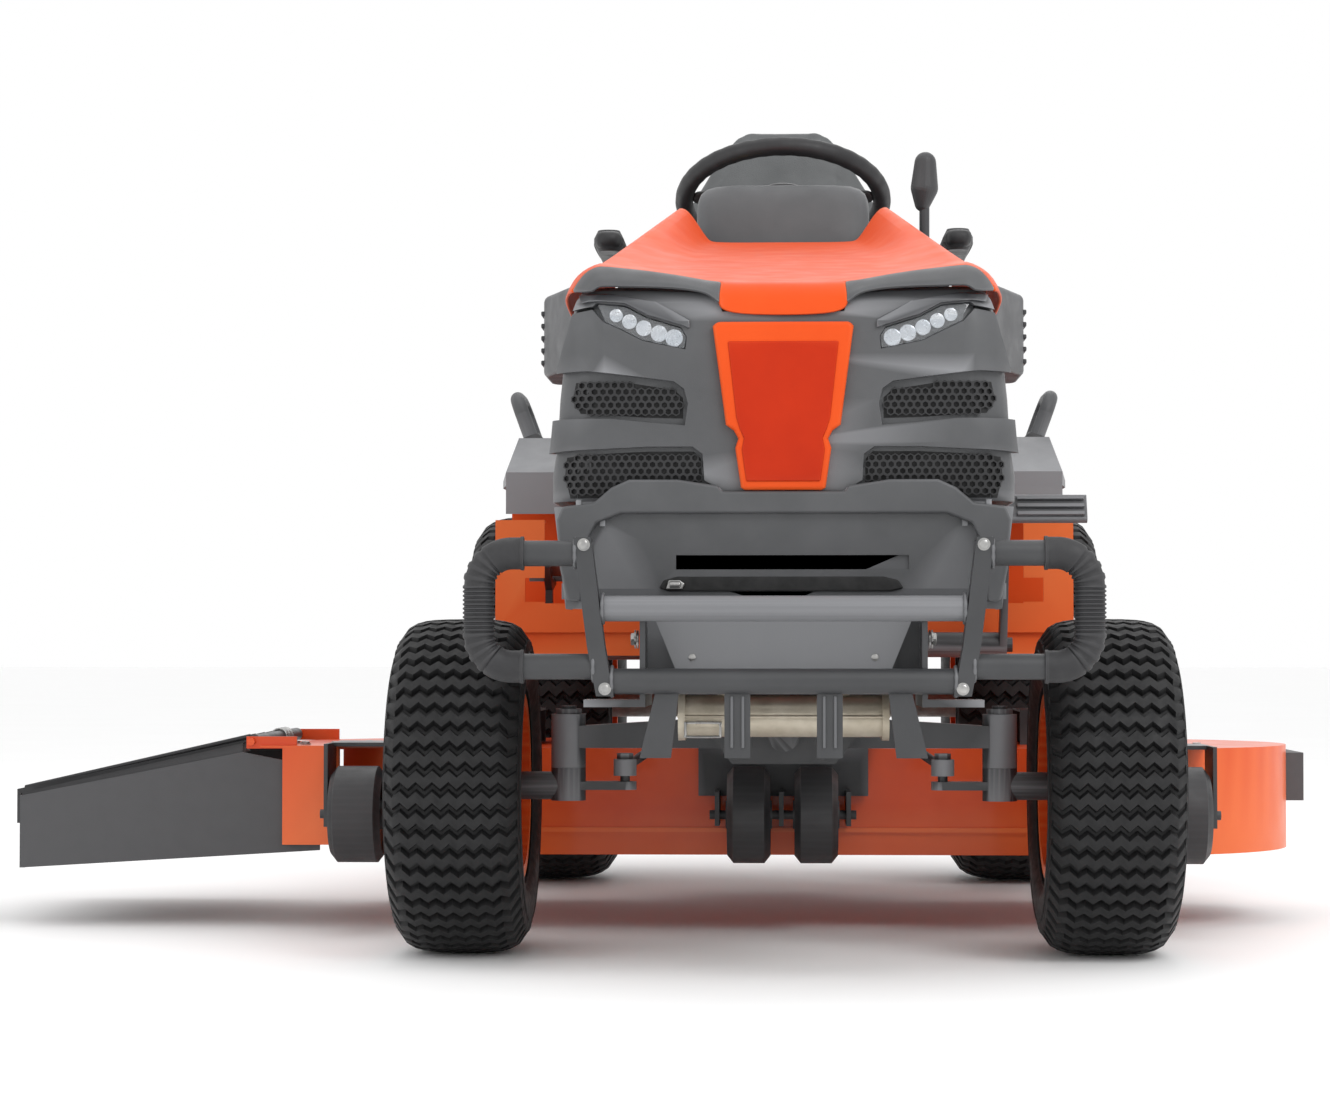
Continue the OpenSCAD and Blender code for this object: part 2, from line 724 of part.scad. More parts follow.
module guard_frame() {
    bar_w = 19;
    bar_d = 30;
    upper_z = 413;
    lower_z = 334;
    finger_t = 5;
    low = 251;
    color(black) {
        translate([0, guard_y, upper_z]) rod_x(guard_tube_d, 392);
        translate([0, guard_y, lower_z]) rod_x(guard_tube_d, 388);
        both_sides() {
            translate([0, guard_y, 0]) extrude_y(bar_d) polygon([[193 - bar_w / 2, 318], [193 + bar_w / 2, 318],
                [203 + bar_w / 2, 372], [218 + bar_w / 2, 490], [218 - bar_w / 2, 490], [203 - bar_w / 2, 372]]);
            rod([206, guard_y, loop_top], [loop_x - loop_bend, guard_y, loop_top], guard_tube_d);
            rod([198, guard_y, loop_low], [loop_x - loop_bend, guard_y, loop_low], guard_tube_d);
            rod([loop_x, guard_y, loop_low + loop_bend], [loop_x, guard_y, loop_top - loop_bend], guard_tube_d);
            loop_bends(guard_r, 0);
            // Fingers under the lower tube
            translate([0, guard_y, 0]) extrude_y(finger_t) polygon([[112, lower_z], [136, lower_z],
                [156, low], [122, low]]);
            translate([0, guard_y, 0]) extrude_y(finger_t) polygon([[36, lower_z], [64, lower_z],
                [64, low], [36, low]]);
            // Mount plate that bolts to the outside of the rail
            difference() {
                union() {
                    block([rail_x, guard_y, 306], [rail_x + 6, -250, rail_top - 10]);
                    block([rail_x, guard_y, 306], [rail_x + 67, guard_y + 60, 314]);
                }
                for (y = [-340, -280]) translate([rail_x, y, rail_z + rail_h / 2]) rod_x(11, 30);
            }
        }
    }
}

module guard_sleeves() {
    out = guard_r + sleeve_t;
    sleeve_x = 282;
    color(rubber) both_sides() {
        loop_bends(out, guard_r);
        for (z = [loop_low, loop_top]) translate([(sleeve_x + loop_x - loop_bend) / 2, guard_y, z])
            difference() {
                rod_x(2 * out, loop_x - loop_bend - sleeve_x);
                rod_x(guard_tube_d, loop_x);
            }
        translate([loop_x, guard_y, loop_low + loop_bend]) difference() {
            cylinder(r = out, h = loop_top - loop_low - 2 * loop_bend);
            translate([0, 0, -cut]) cylinder(r = guard_r, h = loop_top);
        }
    }
}

// ---- Hood, grille and fascia ----

module lower_fascia() {
    t = panel_t;
    top_hw = grille_hw - 1;
    low_hw = grille_hw - 14;
    back = -nose_reach + 85;
    low_y = -nose_reach + 16;
    color(grey) {
        difference() {
            hull() {
                block([-low_hw, low_y, fascia_low], [low_hw, back, fascia_low + 1]);
                block([-top_hw + 14, hinge_y, fascia_top - 1], [top_hw - 14, back, fascia_top]);
                block([-top_hw, hinge_y + 14, fascia_top - 1], [top_hw, back, fascia_top]);
            }
            hull() {
                block([-low_hw + t, low_y + t, fascia_low - cut], [low_hw - t, back + cut, fascia_low + 1]);
                block([-top_hw + 16, hinge_y + t, fascia_top + cut], [top_hw - 16, back + cut, fascia_top + 2]);
                block([-top_hw + t, hinge_y + 16, fascia_top + cut], [top_hw - t, back + cut, fascia_top + 2]);
            }
            block([-120, -nose_reach - 40, 458], [140, back, 474]);
            both_sides() block([rail_x - 39, -nose_reach - 40, fascia_low - cut], [rail_x + 1, back + cut,
                rail_top + face_gap]);
            both_sides() block([hinge_x - lug_w / 2 - 3, hinge_y - 20, hinge_z - lug_r - 4],
                [hinge_x + lug_w / 2 + 3, hinge_y + 14, fascia_top + cut]);
        }
        // Ears and pins of the hood hinge
        both_sides() for (side = [-1, 1])
            translate([hinge_x + side * (lug_w / 2 + face_gap + 3), hinge_y, 0]) {
                translate([0, 0, hinge_z]) rod_x(12, 6);
                block([-3, -4, hinge_z - 24], [3, 8, hinge_z]);
            }
        both_sides() block([hinge_x - 20, hinge_y + 3, hinge_z - 24], [hinge_x + 20, hinge_y + 8, hinge_z - 14]);
        // Arms that carry the fascia on the rails
        both_sides() block([rail_x - 38, back - 30, rail_top], [rail_x, back, fascia_low + 30]);
        block([-top_hw + 4, back - 4, fascia_low + 12], [top_hw - 4, back, fascia_low + 30]);
    }
    color(steel) both_sides() translate([hinge_x, hinge_y, hinge_z]) rod_x(hinge_pin_d - 2 * pin_fit, lug_w + 12);
}

lamp_outline = [[140, 718], [136, 735], [180, 752], [230, 762], [226, 746], [176, 722]];
upper_mesh = [[116, 646], [116, 658], [170, 665], [226, 668], [222, 640]];
lower_mesh = [[100, 588], [104, 566], [172, 560], [192, 542], [236, 542], [238, 585], [180, 589]];

module grille() {
    t = panel_t;
    low_hw = grille_hw - 8;
    top_hw = grille_hw - 24;
    face = -nose_reach;
    back = -200;
    high = lamp_top_z - 18;
    color(grey) {
        difference() {
            hull() {
                block([-low_hw + 22, face, seam_z], [low_hw - 22, back, seam_z + 1]);
                block([-low_hw, face + 30, seam_z], [low_hw, back, seam_z + 1]);
                block([-grille_hw + 26, face, 600], [grille_hw - 26, back, 601]);
                block([-grille_hw, face + 34, 600], [grille_hw, back, 601]);
                block([-top_hw + 6, face, 690], [top_hw - 6, back, 691]);
                block([-top_hw + 50, face + 20, high - 1], [top_hw - 50, back, high]);
                block([-top_hw, face + 60, high - 1], [top_hw, back, high]);
            }
            hull() {
                block([-low_hw + 24, face + t, seam_z - cut], [low_hw - 24, back + cut, seam_z + 1]);
                block([-low_hw + t, face + 32, seam_z - cut], [low_hw - t, back + cut, seam_z + 1]);
                block([-grille_hw + 28, face + t, 600], [grille_hw - 28, back + cut, 601]);
                block([-grille_hw + t, face + 36, 600], [grille_hw - t, back + cut, 601]);
                block([-top_hw + 8, face + t, 690], [top_hw - 8, back + cut, 691]);
                block([-top_hw + 52, face + 20 + t, high - t], [top_hw - 52, back + cut, high + cut]);
                block([-top_hw + t, face + 62, high - t], [top_hw - t, back + cut, high + cut]);
            }
            both_sides() translate([0, face + 40, 0]) extrude_y(90) polygon(lamp_outline);
            both_sides() translate([0, face + 20, 0]) extrude_y(60) polygon(upper_mesh);
            both_sides() translate([0, face + 20, 0]) extrude_y(60) polygon(lower_mesh);
            both_sides() block([hinge_x - 22, face - cut, seam_z - cut], [hinge_x + 22, face + 40, seam_z + 12]);
        }
        // Sides of the hood with a raised scoop at the rear
        both_sides() {
            translate([0, 0, seam_z]) linear_extrude(lamp_top_z - 16 - face_gap - seam_z)
                polygon([[grille_hw - t, back - 2], [grille_hw, back - 2], [grille_hw + 3, 80],
                    [grille_hw + 3, hood_rear], [grille_hw + 3 - t, hood_rear], [grille_hw + 3 - t, 80]]);
            difference() {
                translate([0, 0, 720]) linear_extrude(108) polygon([[grille_hw + 2.3, 90], [side_panel_x, 230],
                    [side_panel_x, hood_rear - 40], [grille_hw + 2.3, hood_rear - 10]]);
                translate([0, 0, 726]) linear_extrude(96) polygon([[grille_hw, 108], [side_panel_x - 6, 238],
                    [side_panel_x - 6, hood_rear - 48], [grille_hw, hood_rear - 24]]);
            }
            // Hinge lug with its arm up the back of the face
            difference() {
                translate([hinge_x, hinge_y, hinge_z]) union() {
                    rod_x(2 * lug_r, lug_w);
                    block([-lug_w / 2, -1, 0], [lug_w / 2, 7, 46]);
                }
                translate([hinge_x, hinge_y, hinge_z]) rod_x(hinge_pin_d, 2 * lug_w);
            }
        }
    }
}

module grille_insert() {
    face = -nose_reach;
    color(deep_orange) {
        translate([0, face - 8, 0]) extrude_y(16) polygon([[-78, 734], [78, 734], [66, 626], [56, 618],
            [54, 606], [60, 596], [50, 550], [-50, 550], [-60, 596], [-54, 606], [-56, 618], [-66, 626]]);
        translate([0, face - 17, 0]) extrude_y(4) polygon([[-62, 726], [62, 726], [50, 630], [-50, 630]]);
    }
}

module headlights() {
    color([0.92, 0.94, 0.96]) both_sides() translate([0, -nose_reach + 34, 0]) extrude_y(34) polygon(lamp_outline);
}

module grille_mesh() {
    t = 2;
    wire = 3;
    pitch = 12;
    color(black) both_sides() translate([0, -nose_reach + panel_t + face_gap + t / 2, 0]) difference() {
        for (panel = [[112, 640, 9, 2], [96, 542, 10, 4]]) translate([panel[0], 0, panel[1]]) {
            for (i = [0:panel[3]]) translate([0, 0, i * pitch])
                block([0, -t / 2, 0], [panel[2] * pitch + wire, t / 2, wire]);
            for (i = [0:panel[2]]) translate([i * pitch, 0, 0])
                block([0, -t / 2, 0], [wire, t / 2, panel[3] * pitch + wire]);
        }
        block([hinge_x - lug_w / 2 - face_gap, -t, seam_z], [hinge_x + lug_w, t, hinge_z + 46 + face_gap]);
    }
}

// Half widths and heights of the hood at one station: side, low edge, ridge, ridge top, middle
function hood_ring(y, hw, low, ridge_x, ridge_z, mid_z, t) = let (
    arch = [[hw, low], [hw - 4, (low + ridge_z) / 2], [(hw + ridge_x) / 2, ridge_z - 8], [ridge_x, ridge_z],
        [ridge_x * 0.8, ridge_z - 2], [ridge_x * 0.5, (ridge_z + mid_z) / 2 - 2]],
    right = [for (p = arch) [p[0], y, p[1]]],
    left = [for (i = [len(arch) - 1:-1:0]) [-arch[i][0], y, arch[i][1]]],
    outer = concat(right, [[0, y, mid_z]], left),
    inner = [for (i = [len(outer) - 1:-1:0]) let (p = outer[i])
        [p[0] * (1 - t / hw), p[1], abs(p[0]) == hw ? p[2] : p[2] - t]])
    concat(outer, inner);

module hood_top() {
    t = panel_t;
    side = grille_hw + 2;
    low = lamp_top_z - 16;
    color(orange) {
        loft([
            hood_ring(-nose_reach + 26, grille_hw - 22, low, 170, lamp_top_z + 2, lamp_top_z - 42, t),
            hood_ring(-nose_reach + 60, grille_hw - 18, low, 205, lamp_top_z + 8, lamp_top_z - 12, t),
            hood_ring(-200, side - 6, low, 212, lamp_top_z + 16, lamp_top_z + 8, t),
            hood_ring(-100, side - 2, low, 208, lamp_top_z + 34, lamp_top_z + 30, t),
            hood_ring(100, side, low, 184, horn_z - 92, horn_z - 112, t),
            hood_ring(250, side, low, 162, horn_z - 48, horn_z - 76, t),
            hood_ring(hood_rear, side, low, horn_hw, horn_z, horn_z - 47, t)], arch = true);
    }
}

// ---- Dash ----

// Places its children on the sloping console, x across and s down the slope, Z out of it
module on_console(x, s) {
    translate([x, console_y, dash_top]) rotate([-console_angle, 0, 0]) translate([0, s, 0]) children();
}

module dash_outline() {
    polygon([[dash_front, dash_base], [dash_front, 890], [console_y - 26, dash_top - 12], [console_y, dash_top],
        [console_low_y, console_low_z], [console_low_y, 780], [640, dash_base]]);
}

key_x = 70;
key_s = 70;
knob_x = -70;
knob_s = 70;
throttle_x = 0;
throttle_s = 60;
throttle_pin_d = 8;

module dash_cowl() {
    t = 4;
    color(grey) difference() {
        extrude_x(2 * dash_hw) dash_outline();
        extrude_x(2 * dash_hw - 2 * t) offset(delta = -t) dash_outline();
        block([-dash_hw + t, dash_front + t, dash_base - cut], [dash_hw - t, 636, dash_base + 2 * t]);
        // Column opening
        translate([0, wheel_hub_y, wheel_hub_z]) rotate([-column_tilt, 0, 0])
            translate([0, 0, -260]) cylinder(d = 78, h = 230);
        on_console(key_x, key_s) translate([0, 0, -20]) cylinder(d = 14 + 2 * pin_fit, h = 40);
        on_console(knob_x, knob_s) translate([0, 0, -20]) cylinder(d = 10 + 2 * pin_fit, h = 40);
        on_console(throttle_x, throttle_s) translate([-6, -42, -20]) cube([12, 84, 40]);
    }
    // Ears and pin that carry the throttle lever under the console
    color(grey) on_console(throttle_x, throttle_s) {
        both_sides() translate([6.5, -8, -48]) cube([3, 16, 46]);
        translate([0, 0, -40]) rod_x(throttle_pin_d, 18);
    }
}

module ignition_key() {
    color(steel) on_console(key_x, key_s) {
        translate([0, 0, -18]) cylinder(d = 14, h = 24);
        translate([0, 0, 6]) cylinder(d = 24, h = 3);
        translate([-2, -11, 9]) cube([4, 22, 24]);
    }
}

module pto_knob() {
    color([0.85, 0.65, 0.05]) on_console(knob_x, knob_s) {
        translate([0, 0, -40]) cylinder(d = 10, h = 48);
        translate([0, 0, 8]) cylinder(d = 34, h = 16);
    }
}

module throttle_lever() {
    color(black) on_console(throttle_x, throttle_s) translate([0, 0, -40]) {
        difference() {
            union() {
                rod_x(20, 8);
                translate([-3, -5, 0]) cube([6, 10, 78]);
            }
            rod_x(throttle_pin_d + 2 * pin_fit, 40);
        }
        translate([0, 0, 84]) rod_x(22, 26);
    }
}

// ---- Fenders ----

module fender_pan() {
    high = 547;
    lip = 22;
    window = [[329, 434], [356, 467]];
    color(orange) {
        difference() {
            union() {
                both_sides() {
                    // Footwell floor with its outer lip and front panel
                    block([tunnel_x, floor_front, floor_z], [fender_hw, step_y, floor_z + sheet_t]);
                    block([fender_hw - sheet_t, floor_front, floor_z - 8], [fender_hw, step_y, floor_z + lip]);
                    block([tunnel_x, floor_front, floor_z - 8], [fender_hw, floor_front + sheet_t, floor_z + 32]);
                    block([tunnel_x, floor_front, floor_z], [tunnel_x + sheet_t, step_y, dash_base - face_gap]);
                    block([fender_hw - 68, floor_front, floor_z], [fender_hw, floor_front + sheet_t, high]);
                    // Step up to the fender and the fender deck with its skirt
                    block([tunnel_x, step_y, floor_z - 8], [fender_hw, step_y + sheet_t, fender_z]);
                    block([fender_hw - sheet_t, step_y, fender_z - 44], [fender_hw, wheelbase - rear_z - 25, fender_z]);
                    block([fender_hw - 68, floor_front, high - sheet_t], [fender_hw, floor_front + 30, high]);
                }
                block([-tunnel_x - sheet_t, floor_front, dash_base - face_gap - sheet_t],
                    [tunnel_x + sheet_t, step_y, dash_base - face_gap]);
                block([-tunnel_x, step_y, dash_base - 40], [tunnel_x, step_y + sheet_t, fender_z]);
                block([-fender_hw, step_y, fender_z - sheet_t], [fender_hw, fender_rear, fender_z]);
                block([-fender_hw, fender_rear - sheet_t, fender_z - 60], [fender_hw, fender_rear, fender_z]);
            }
            both_sides() block([window[0][0], floor_front - cut, window[0][1]],
                [window[1][0], floor_front + 2 * sheet_t, window[1][1]]);
            // Slots for the lift lever and the drive pedals, and the steering column opening
            block([lever_x - 14, lift_y - 34, floor_z - cut], [lever_x + 14, lift_y + 46, floor_z + 2 * sheet_t]);
            block([-346, drive_y - 28, floor_z - cut], [-314, drive_y + 28, floor_z + 2 * sheet_t]);
            block([-60, floor_front - cut, dash_base - 10], [60, 630, dash_base]);
        }
        // Brackets that carry the footwells on the rails
        both_sides() for (y = [floor_front + 8, step_y - 28])
            block([rail_x, y, floor_z - 40], [362, y + 20, floor_z]);
        both_sides() block([rail_x - 38, 1000, rail_top], [rail_x, 1040, fender_z - sheet_t]);
        both_sides() block([rail_x - 38, fender_rear - 120, rail_top], [rail_x, fender_rear - 80, fender_z - sheet_t]);
    }
}

module fender_covers() {
    high = 682;
    front = 700;
    color(grey) {
        both_sides() difference() {
            hull() {
                block([236, step_y, fender_z], [410, step_y + 4, fender_z + 10]);
                block([262, front, fender_z - 36], [400, front + 4, fender_z + 20]);
                block([250, step_y + 60, high - 4], [392, step_y + 64, high]);
                block([250, fender_rear - 120, high - 14], [392, fender_rear - 116, high - 10]);
                block([236, fender_rear - 4, fender_z], [405, fender_rear, fender_z + 30]);
            }
            block([200, front - cut, 0], [430, fender_rear + cut, fender_z]);
            translate([0, 0, -face_gap]) handle_posts(handle_d + 2 * face_gap);
        }
        both_sides() block([262, front, fender_z - 40], [400, front + 4, fender_z + 20]);
        both_sides() block([262, front, fender_z], [400, step_y, fender_z + 4]);
        block([-236, step_y + 10, fender_z], [236, fender_rear - 10, cover_z]);
    }
}

handle_d = 22;
handle_y = [900, 1010];
handle_low = 672;
handle_h = 54;

// The posts of the left grab handle, with a diameter that also cuts their sockets
module handle_posts(d) {
    translate([374, 0, handle_low]) rotate([0, 20, 0]) for (y = handle_y) translate([0, y, 0])
        cylinder(d = d, h = handle_h);
}

module grab_handles() {
    bend = 26;
    color(grey) both_sides() handle_posts(handle_d);
    color(grey) both_sides() translate([374, 0, handle_low]) rotate([0, 20, 0]) {
        translate([0, (handle_y[0] + handle_y[1]) / 2, handle_h + bend])
            rod_y(handle_d, handle_y[1] - handle_y[0] - 2 * bend);
        for (end = [[handle_y[0] + bend, 90], [handle_y[1] - bend, 0]]) translate([0, end[0], handle_h])
            rotate([90, 0, 90]) rotate([0, 0, end[1]]) rotate_extrude(angle = 90)
                translate([bend, 0]) circle(d = handle_d);
    }
}

// ---- Seat ----

slide_x = 120;
slide_w = 34;

module seat_rails() {
    color(black) both_sides() {
        block([slide_x - slide_w / 2, seat_front_y + 20, cover_z], [slide_x + slide_w / 2, seat_rear_y, cover_z + 3]);
        for (x = [slide_x - slide_w / 2, slide_x + slide_w / 2 - 3])
            block([x, seat_front_y + 20, cover_z], [x + 3, seat_rear_y, rail_seat_z]);
    }
}

module seat_slider() {
    spring_d = 52;
    top = shell_z - face_gap;
    color(black) {
        both_sides() block([slide_x - slide_w / 2 + 5, seat_front_y + 70, cover_z + 3 + face_gap],
            [slide_x + slide_w / 2 - 5, seat_rear_y - 50, rail_seat_z + 4]);
        block([-160, seat_front_y + 20, rail_seat_z + 2], [160, seat_rear_y - 20, slider_z]);
        both_sides() difference() {
            block([104, seat_hinge_y - 11, slider_z - 1], [110, seat_hinge_y + 11, seat_hinge_z + 9]);
            translate([107, seat_hinge_y, seat_hinge_z]) rod_x(10, 20);
        }
    }
    color(steel) {
        both_sides() translate([104, seat_hinge_y, seat_hinge_z]) rod_x(10 - 2 * pin_fit, 36);
        // Suspension springs under the rear of the seat
        both_sides() translate([110, seat_rear_y - 70, slider_z]) {
            cylinder(d = 18, h = top - slider_z);
            for (z = [1:8:top - slider_z - 8]) translate([0, 0, z]) {
                rotate_extrude() translate([(spring_d - 7) / 2, 3.5]) circle(d = 7);
                translate([-spring_d / 2 + 4, -3, 2]) cube([spring_d - 8, 6, 3]);
            }
        }
    }
}

module seat_shell() {
    t = 5;
    hw = seat_w / 2 - 8;
    color(black) {
        difference() {
            block([-hw, seat_front_y + 6, shell_z], [hw, seat_rear_y + 20, shell_z + shell_h]);
            block([-hw + t, seat_front_y + 6 + t, shell_z + t], [hw - t, seat_rear_y + 20 - t, shell_z + shell_h + cut]);
        }
        extrude_x(2 * hw - 60) polygon([[seat_rear_y + 8, shell_z], plate_low + [t, -10], plate_high + [t, 0],
            plate_high, plate_low, [seat_rear_y + 8, shell_z + 8]]);
        // Hinge ears at the front, on the slider's pins
        both_sides() difference() {
            block([114, seat_hinge_y - 10, seat_hinge_z - 10], [120, seat_hinge_y + 10, shell_z + 1]);
            translate([117, seat_hinge_y, seat_hinge_z]) rod_x(10, 20);
        }
        // Armrest brackets with their pivot pins
        both_sides() {
            block([hw - 36, arm_pivot_y - 16, arm_pivot_z - 16], [hw + 1, arm_pivot_y + 100, arm_pivot_z + 16]);
            translate([hw + 16, arm_pivot_y, arm_pivot_z]) rod_x(14 - 2 * pin_fit, 34);
        }
    }
}

module seat_cushion() {
    hw = seat_w / 2;
    low = shell_z + shell_h + face_gap;
    edge = 34;
    color(grey) hull() for (x = [-hw + edge, hw - edge], y = [seat_front_y + edge, seat_rear_y - 30 - edge])
        translate([x, y, 0]) {
            translate([0, 0, low]) cylinder(r = edge, h = 44, $fn = hull_fn);
            translate([0, 0, seat_z - 14]) cylinder(r = edge - 12, h = 14, $fn = hull_fn);
        }
}

module seat_back() {
    run = tan(seat_lean);
    thick = 90;
    stations = [[seat_z + 8, 205], [900, 225], [1060, 190], [1150, 150], [seat_back_z - 40, 98], [seat_back_z, 78]];
    rings = [for (s = stations) let (y = seat_rear_y - 24 + (s[0] - seat_z) * run, x = s[1])
        [[-x, y + 20, s[0]], [-x + 16, y, s[0]], [0, y - 8, s[0]], [x - 16, y, s[0]], [x, y + 20, s[0]],
         [x, y + thick - 24, s[0]], [x - 20, y + thick - 10, s[0]], [-x + 20, y + thick - 10, s[0]],
         [-x, y + thick - 24, s[0]]]];
    color(grey) difference() {
        loft(rings);
        extrude_x(seat_w - 74) polygon([plate_low - [face_gap, 60], plate_low - [face_gap, 0],
            plate_high + [-face_gap, face_gap], plate_high + [200, face_gap], plate_low + [200, -60]]);
        both_sides() block([seat_w / 2 - 8 - 36.3, arm_pivot_y - 16.3, arm_pivot_z - 16.3],
            [seat_w / 2, arm_pivot_y + 140, arm_pivot_z + 16.3]);
    }
}

module armrest() {
    front = 905;
    high = 1002;
    color(black) difference() {
        union() {
            translate([armrest_in + armrest_w / 2, 0, 0]) {
                hull() for (y = [front + 18, arm_pivot_y - 30]) translate([0, y, 0]) {
                    translate([0, 0, high - 20]) cylinder(d = armrest_w, h = 8, $fn = hull_fn);
                    translate([0, 0, high - 6]) cylinder(d = armrest_w - 12, h = 6, $fn = hull_fn);
                    translate([0, 0, high - 32]) cylinder(d = armrest_w - 14, h = 10, $fn = hull_fn);
                }
            }
            translate([armrest_in + 12, arm_pivot_y, arm_pivot_z]) rod_x(40, 12);
            translate([armrest_in + 12, 0, 0]) extrude_x(12) polygon([[arm_pivot_y + 18, arm_pivot_z],
                [arm_pivot_y - 10, high - 14], [arm_pivot_y - 80, high - 20], [arm_pivot_y - 18, arm_pivot_z - 6]]);
        }
        translate([armrest_in, arm_pivot_y, arm_pivot_z]) rod_x(14, 80);
    }
}

module armrest_left() { armrest(); }
module armrest_right() { mirror([1, 0, 0]) armrest(); }

// ---- Deck ----

module deck_plan(r) {
    for (p = [left_spindle, right_spindle, mid_spindle]) translate(p) circle(r);
    translate([right_spindle[0], outer_spindle_y - r]) square([left_spindle[0] - right_spindle[0], 2 * r]);
}

module deck_shell() {
    arbor_d = 25;
    hub_d = 74;
    hub_low = deck_top_z - 46;
    color(orange) {
        difference() {
            translate([0, 0, deck_low_z]) linear_extrude(deck_top_z - deck_low_z) deck_plan(skirt_r);
            translate([0, 0, deck_low_z - cut]) linear_extrude(deck_top_z - deck_low_z - deck_t + cut)
                deck_plan(skirt_r - deck_t);
            for (p = [left_spindle, right_spindle, mid_spindle]) translate([p[0], p[1], deck_top_z - 10])
                cylinder(d = hub_d - 4, h = 20);
            // Side discharge opening
            block([-900, chute_front_y, deck_low_z - cut], [chute_x, chute_rear_y, deck_top_z - deck_t]);
            block([-900, chute_front_y - 200, deck_low_z - cut], [chute_x - 106, chute_rear_y + 200, deck_top_z + cut]);
        }
        // Discharge bracket with the pivot pin of the deflector
        block([chute_x - 76, chute_front_y - 24, 110], [chute_x, chute_front_y - 18, deck_top_z]);
        block([chute_x - 106, chute_front_y - 24, deck_top_z], [chute_x + 60, chute_front_y + 90, deck_top_z + bracket_t]);
        for (y = [chute_front_y - 18, chute_rear_y - 30]) block([flap_hinge_x - 7, y, deck_top_z - 1],
            [flap_hinge_x + 60, y + 6, flap_hinge_z + 7]);
        // Front lip of the skirt
        translate([0, outer_spindle_y - skirt_r, deck_low_z + 30]) block([-320, -4, 0], [320, 1, 6]);
    }
    color(steel) {
        for (p = [left_spindle, right_spindle, mid_spindle]) translate([p[0], p[1], hub_low]) difference() {
            union() {
                cylinder(d = hub_d - 4, h = 56);
                translate([0, 0, 46 - deck_t - 6]) cylinder(d = hub_d + 26, h = 6);
            }
            translate([0, 0, -cut]) cylinder(d = arbor_d + 2 * pin_fit, h = 56 + 2 * cut);
        }
        translate([flap_hinge_x, (chute_front_y + chute_rear_y) / 2 - 20, flap_hinge_z])
            rod_y(flap_pin_d - 2 * pin_fit, chute_rear_y - chute_front_y + 10);
    }
}

module blade(p) {
    arbor_d = 25;
    blade_z = deck_low_z + 24;
    pulley_z = deck_top_z + 12;
    color(steel) translate([p[0], p[1], 0]) {
        translate([0, 0, blade_z - 12]) cylinder(d = arbor_d, h = pulley_z + 34 - blade_z);
        translate([0, 0, blade_z - 14]) cylinder(d = 38, h = 12, $fn = 6);
        translate([0, 0, blade_z + 5.5]) cylinder(d = 46, h = deck_top_z - 46 - face_gap - blade_z - 5.5);
        translate([0, 0, blade_z]) linear_extrude(5) intersection() {
            square([2 * blade_r, 60], center = true);
            circle(r = blade_r);
        }
        for (a = [0, 180]) rotate(a) translate([blade_r - 96, 8, blade_z + 4]) rotate([28, 0, 0])
            cube([70, 34, 4]);
        translate([0, 0, pulley_z]) rotate_extrude() polygon([[12.5, -1], [62, -1], [62, 0], [51, 8], [62, 16],
            [62, 17], [12.5, 17]]);
    }
}

module blade_left() { blade(left_spindle); }
module blade_middle() { blade(mid_spindle); }
module blade_right() { blade(right_spindle); }

module belt_covers() {
    t = 3;
    h = 52;
    color(black) for (p = [left_spindle, right_spindle]) translate([p[0], p[1], deck_top_z]) difference() {
        union() {
            cylinder(r = 96, h = h);
            translate([p[0] > 0 ? -120 : 0, -70, 0]) cube([120, 140, h - 4]);
        }
        translate([0, 0, -cut]) cylinder(r = 96 - t, h = h - t + cut);
        translate([p[0] > 0 ? -120 - cut : -cut, -70 + t, -cut]) cube([120 + 2 * cut, 140 - 2 * t, h - 4 - t + cut]);
    }
}

module deck_brackets() {
    arm_y = lift_y + lift_arm_l * cos(lift_arm_angle);
    pin_z = lift_z + lift_arm_l * sin(lift_arm_angle);
    slot_y = 4;
    slot_z = 0.5;
    front_y = outer_spindle_y - skirt_r;
    wheel_y = front_y - scalp_d / 2 - 10;
    axle_z = deck_low_z - 6 + scalp_d / 2;
    color(black) {
        // Hanger plates with slots for the pins of the lift arms
        both_sides() difference() {
            block([lift_arm_x - 16, arm_y - 22, deck_top_z], [lift_arm_x - 8, arm_y + 22, pin_z + 20]);
            translate([lift_arm_x - 12, arm_y + 1.5, pin_z])
                cube([20, lift_pin_d + 2 * slot_y, lift_pin_d + 2 * slot_z], center = true);
        }
        // Forks of the outer anti-scalp wheels
        for (fork = [[right_wheel_x, deck_top_z + bracket_t], [left_wheel_x, deck_top_z]]) {
            for (side = [-1, 1]) translate([fork[0] + side * 41, 0, 0])
                block([-2.5, wheel_y - 16, axle_z - 16], [2.5, front_y - 6, fork[1] + 5]);
            block([fork[0] - 43, front_y - 30, fork[1]], [fork[0] + 43, front_y + 70, fork[1] + 5]);
        }
        // Bracket of the middle pair
        block([-112, front_y - 11, deck_top_z - 62], [111, front_y - 6, deck_top_z + 3]);
        block([-112, front_y - 11, deck_top_z], [111, front_y + 40, deck_top_z + 3]);
        for (x = [-86, -3, 84]) block([x - 3, wheel_y - 14, axle_z - 14], [x + 3, front_y - 6, axle_z + 30]);
    }
    color(steel) {
        for (x = [right_wheel_x, left_wheel_x]) translate([x, wheel_y, axle_z]) rod_x(12 - 2 * pin_fit, 100);
        translate([-1, wheel_y, axle_z]) rod_x(12 - 2 * pin_fit, 190);
    }
}

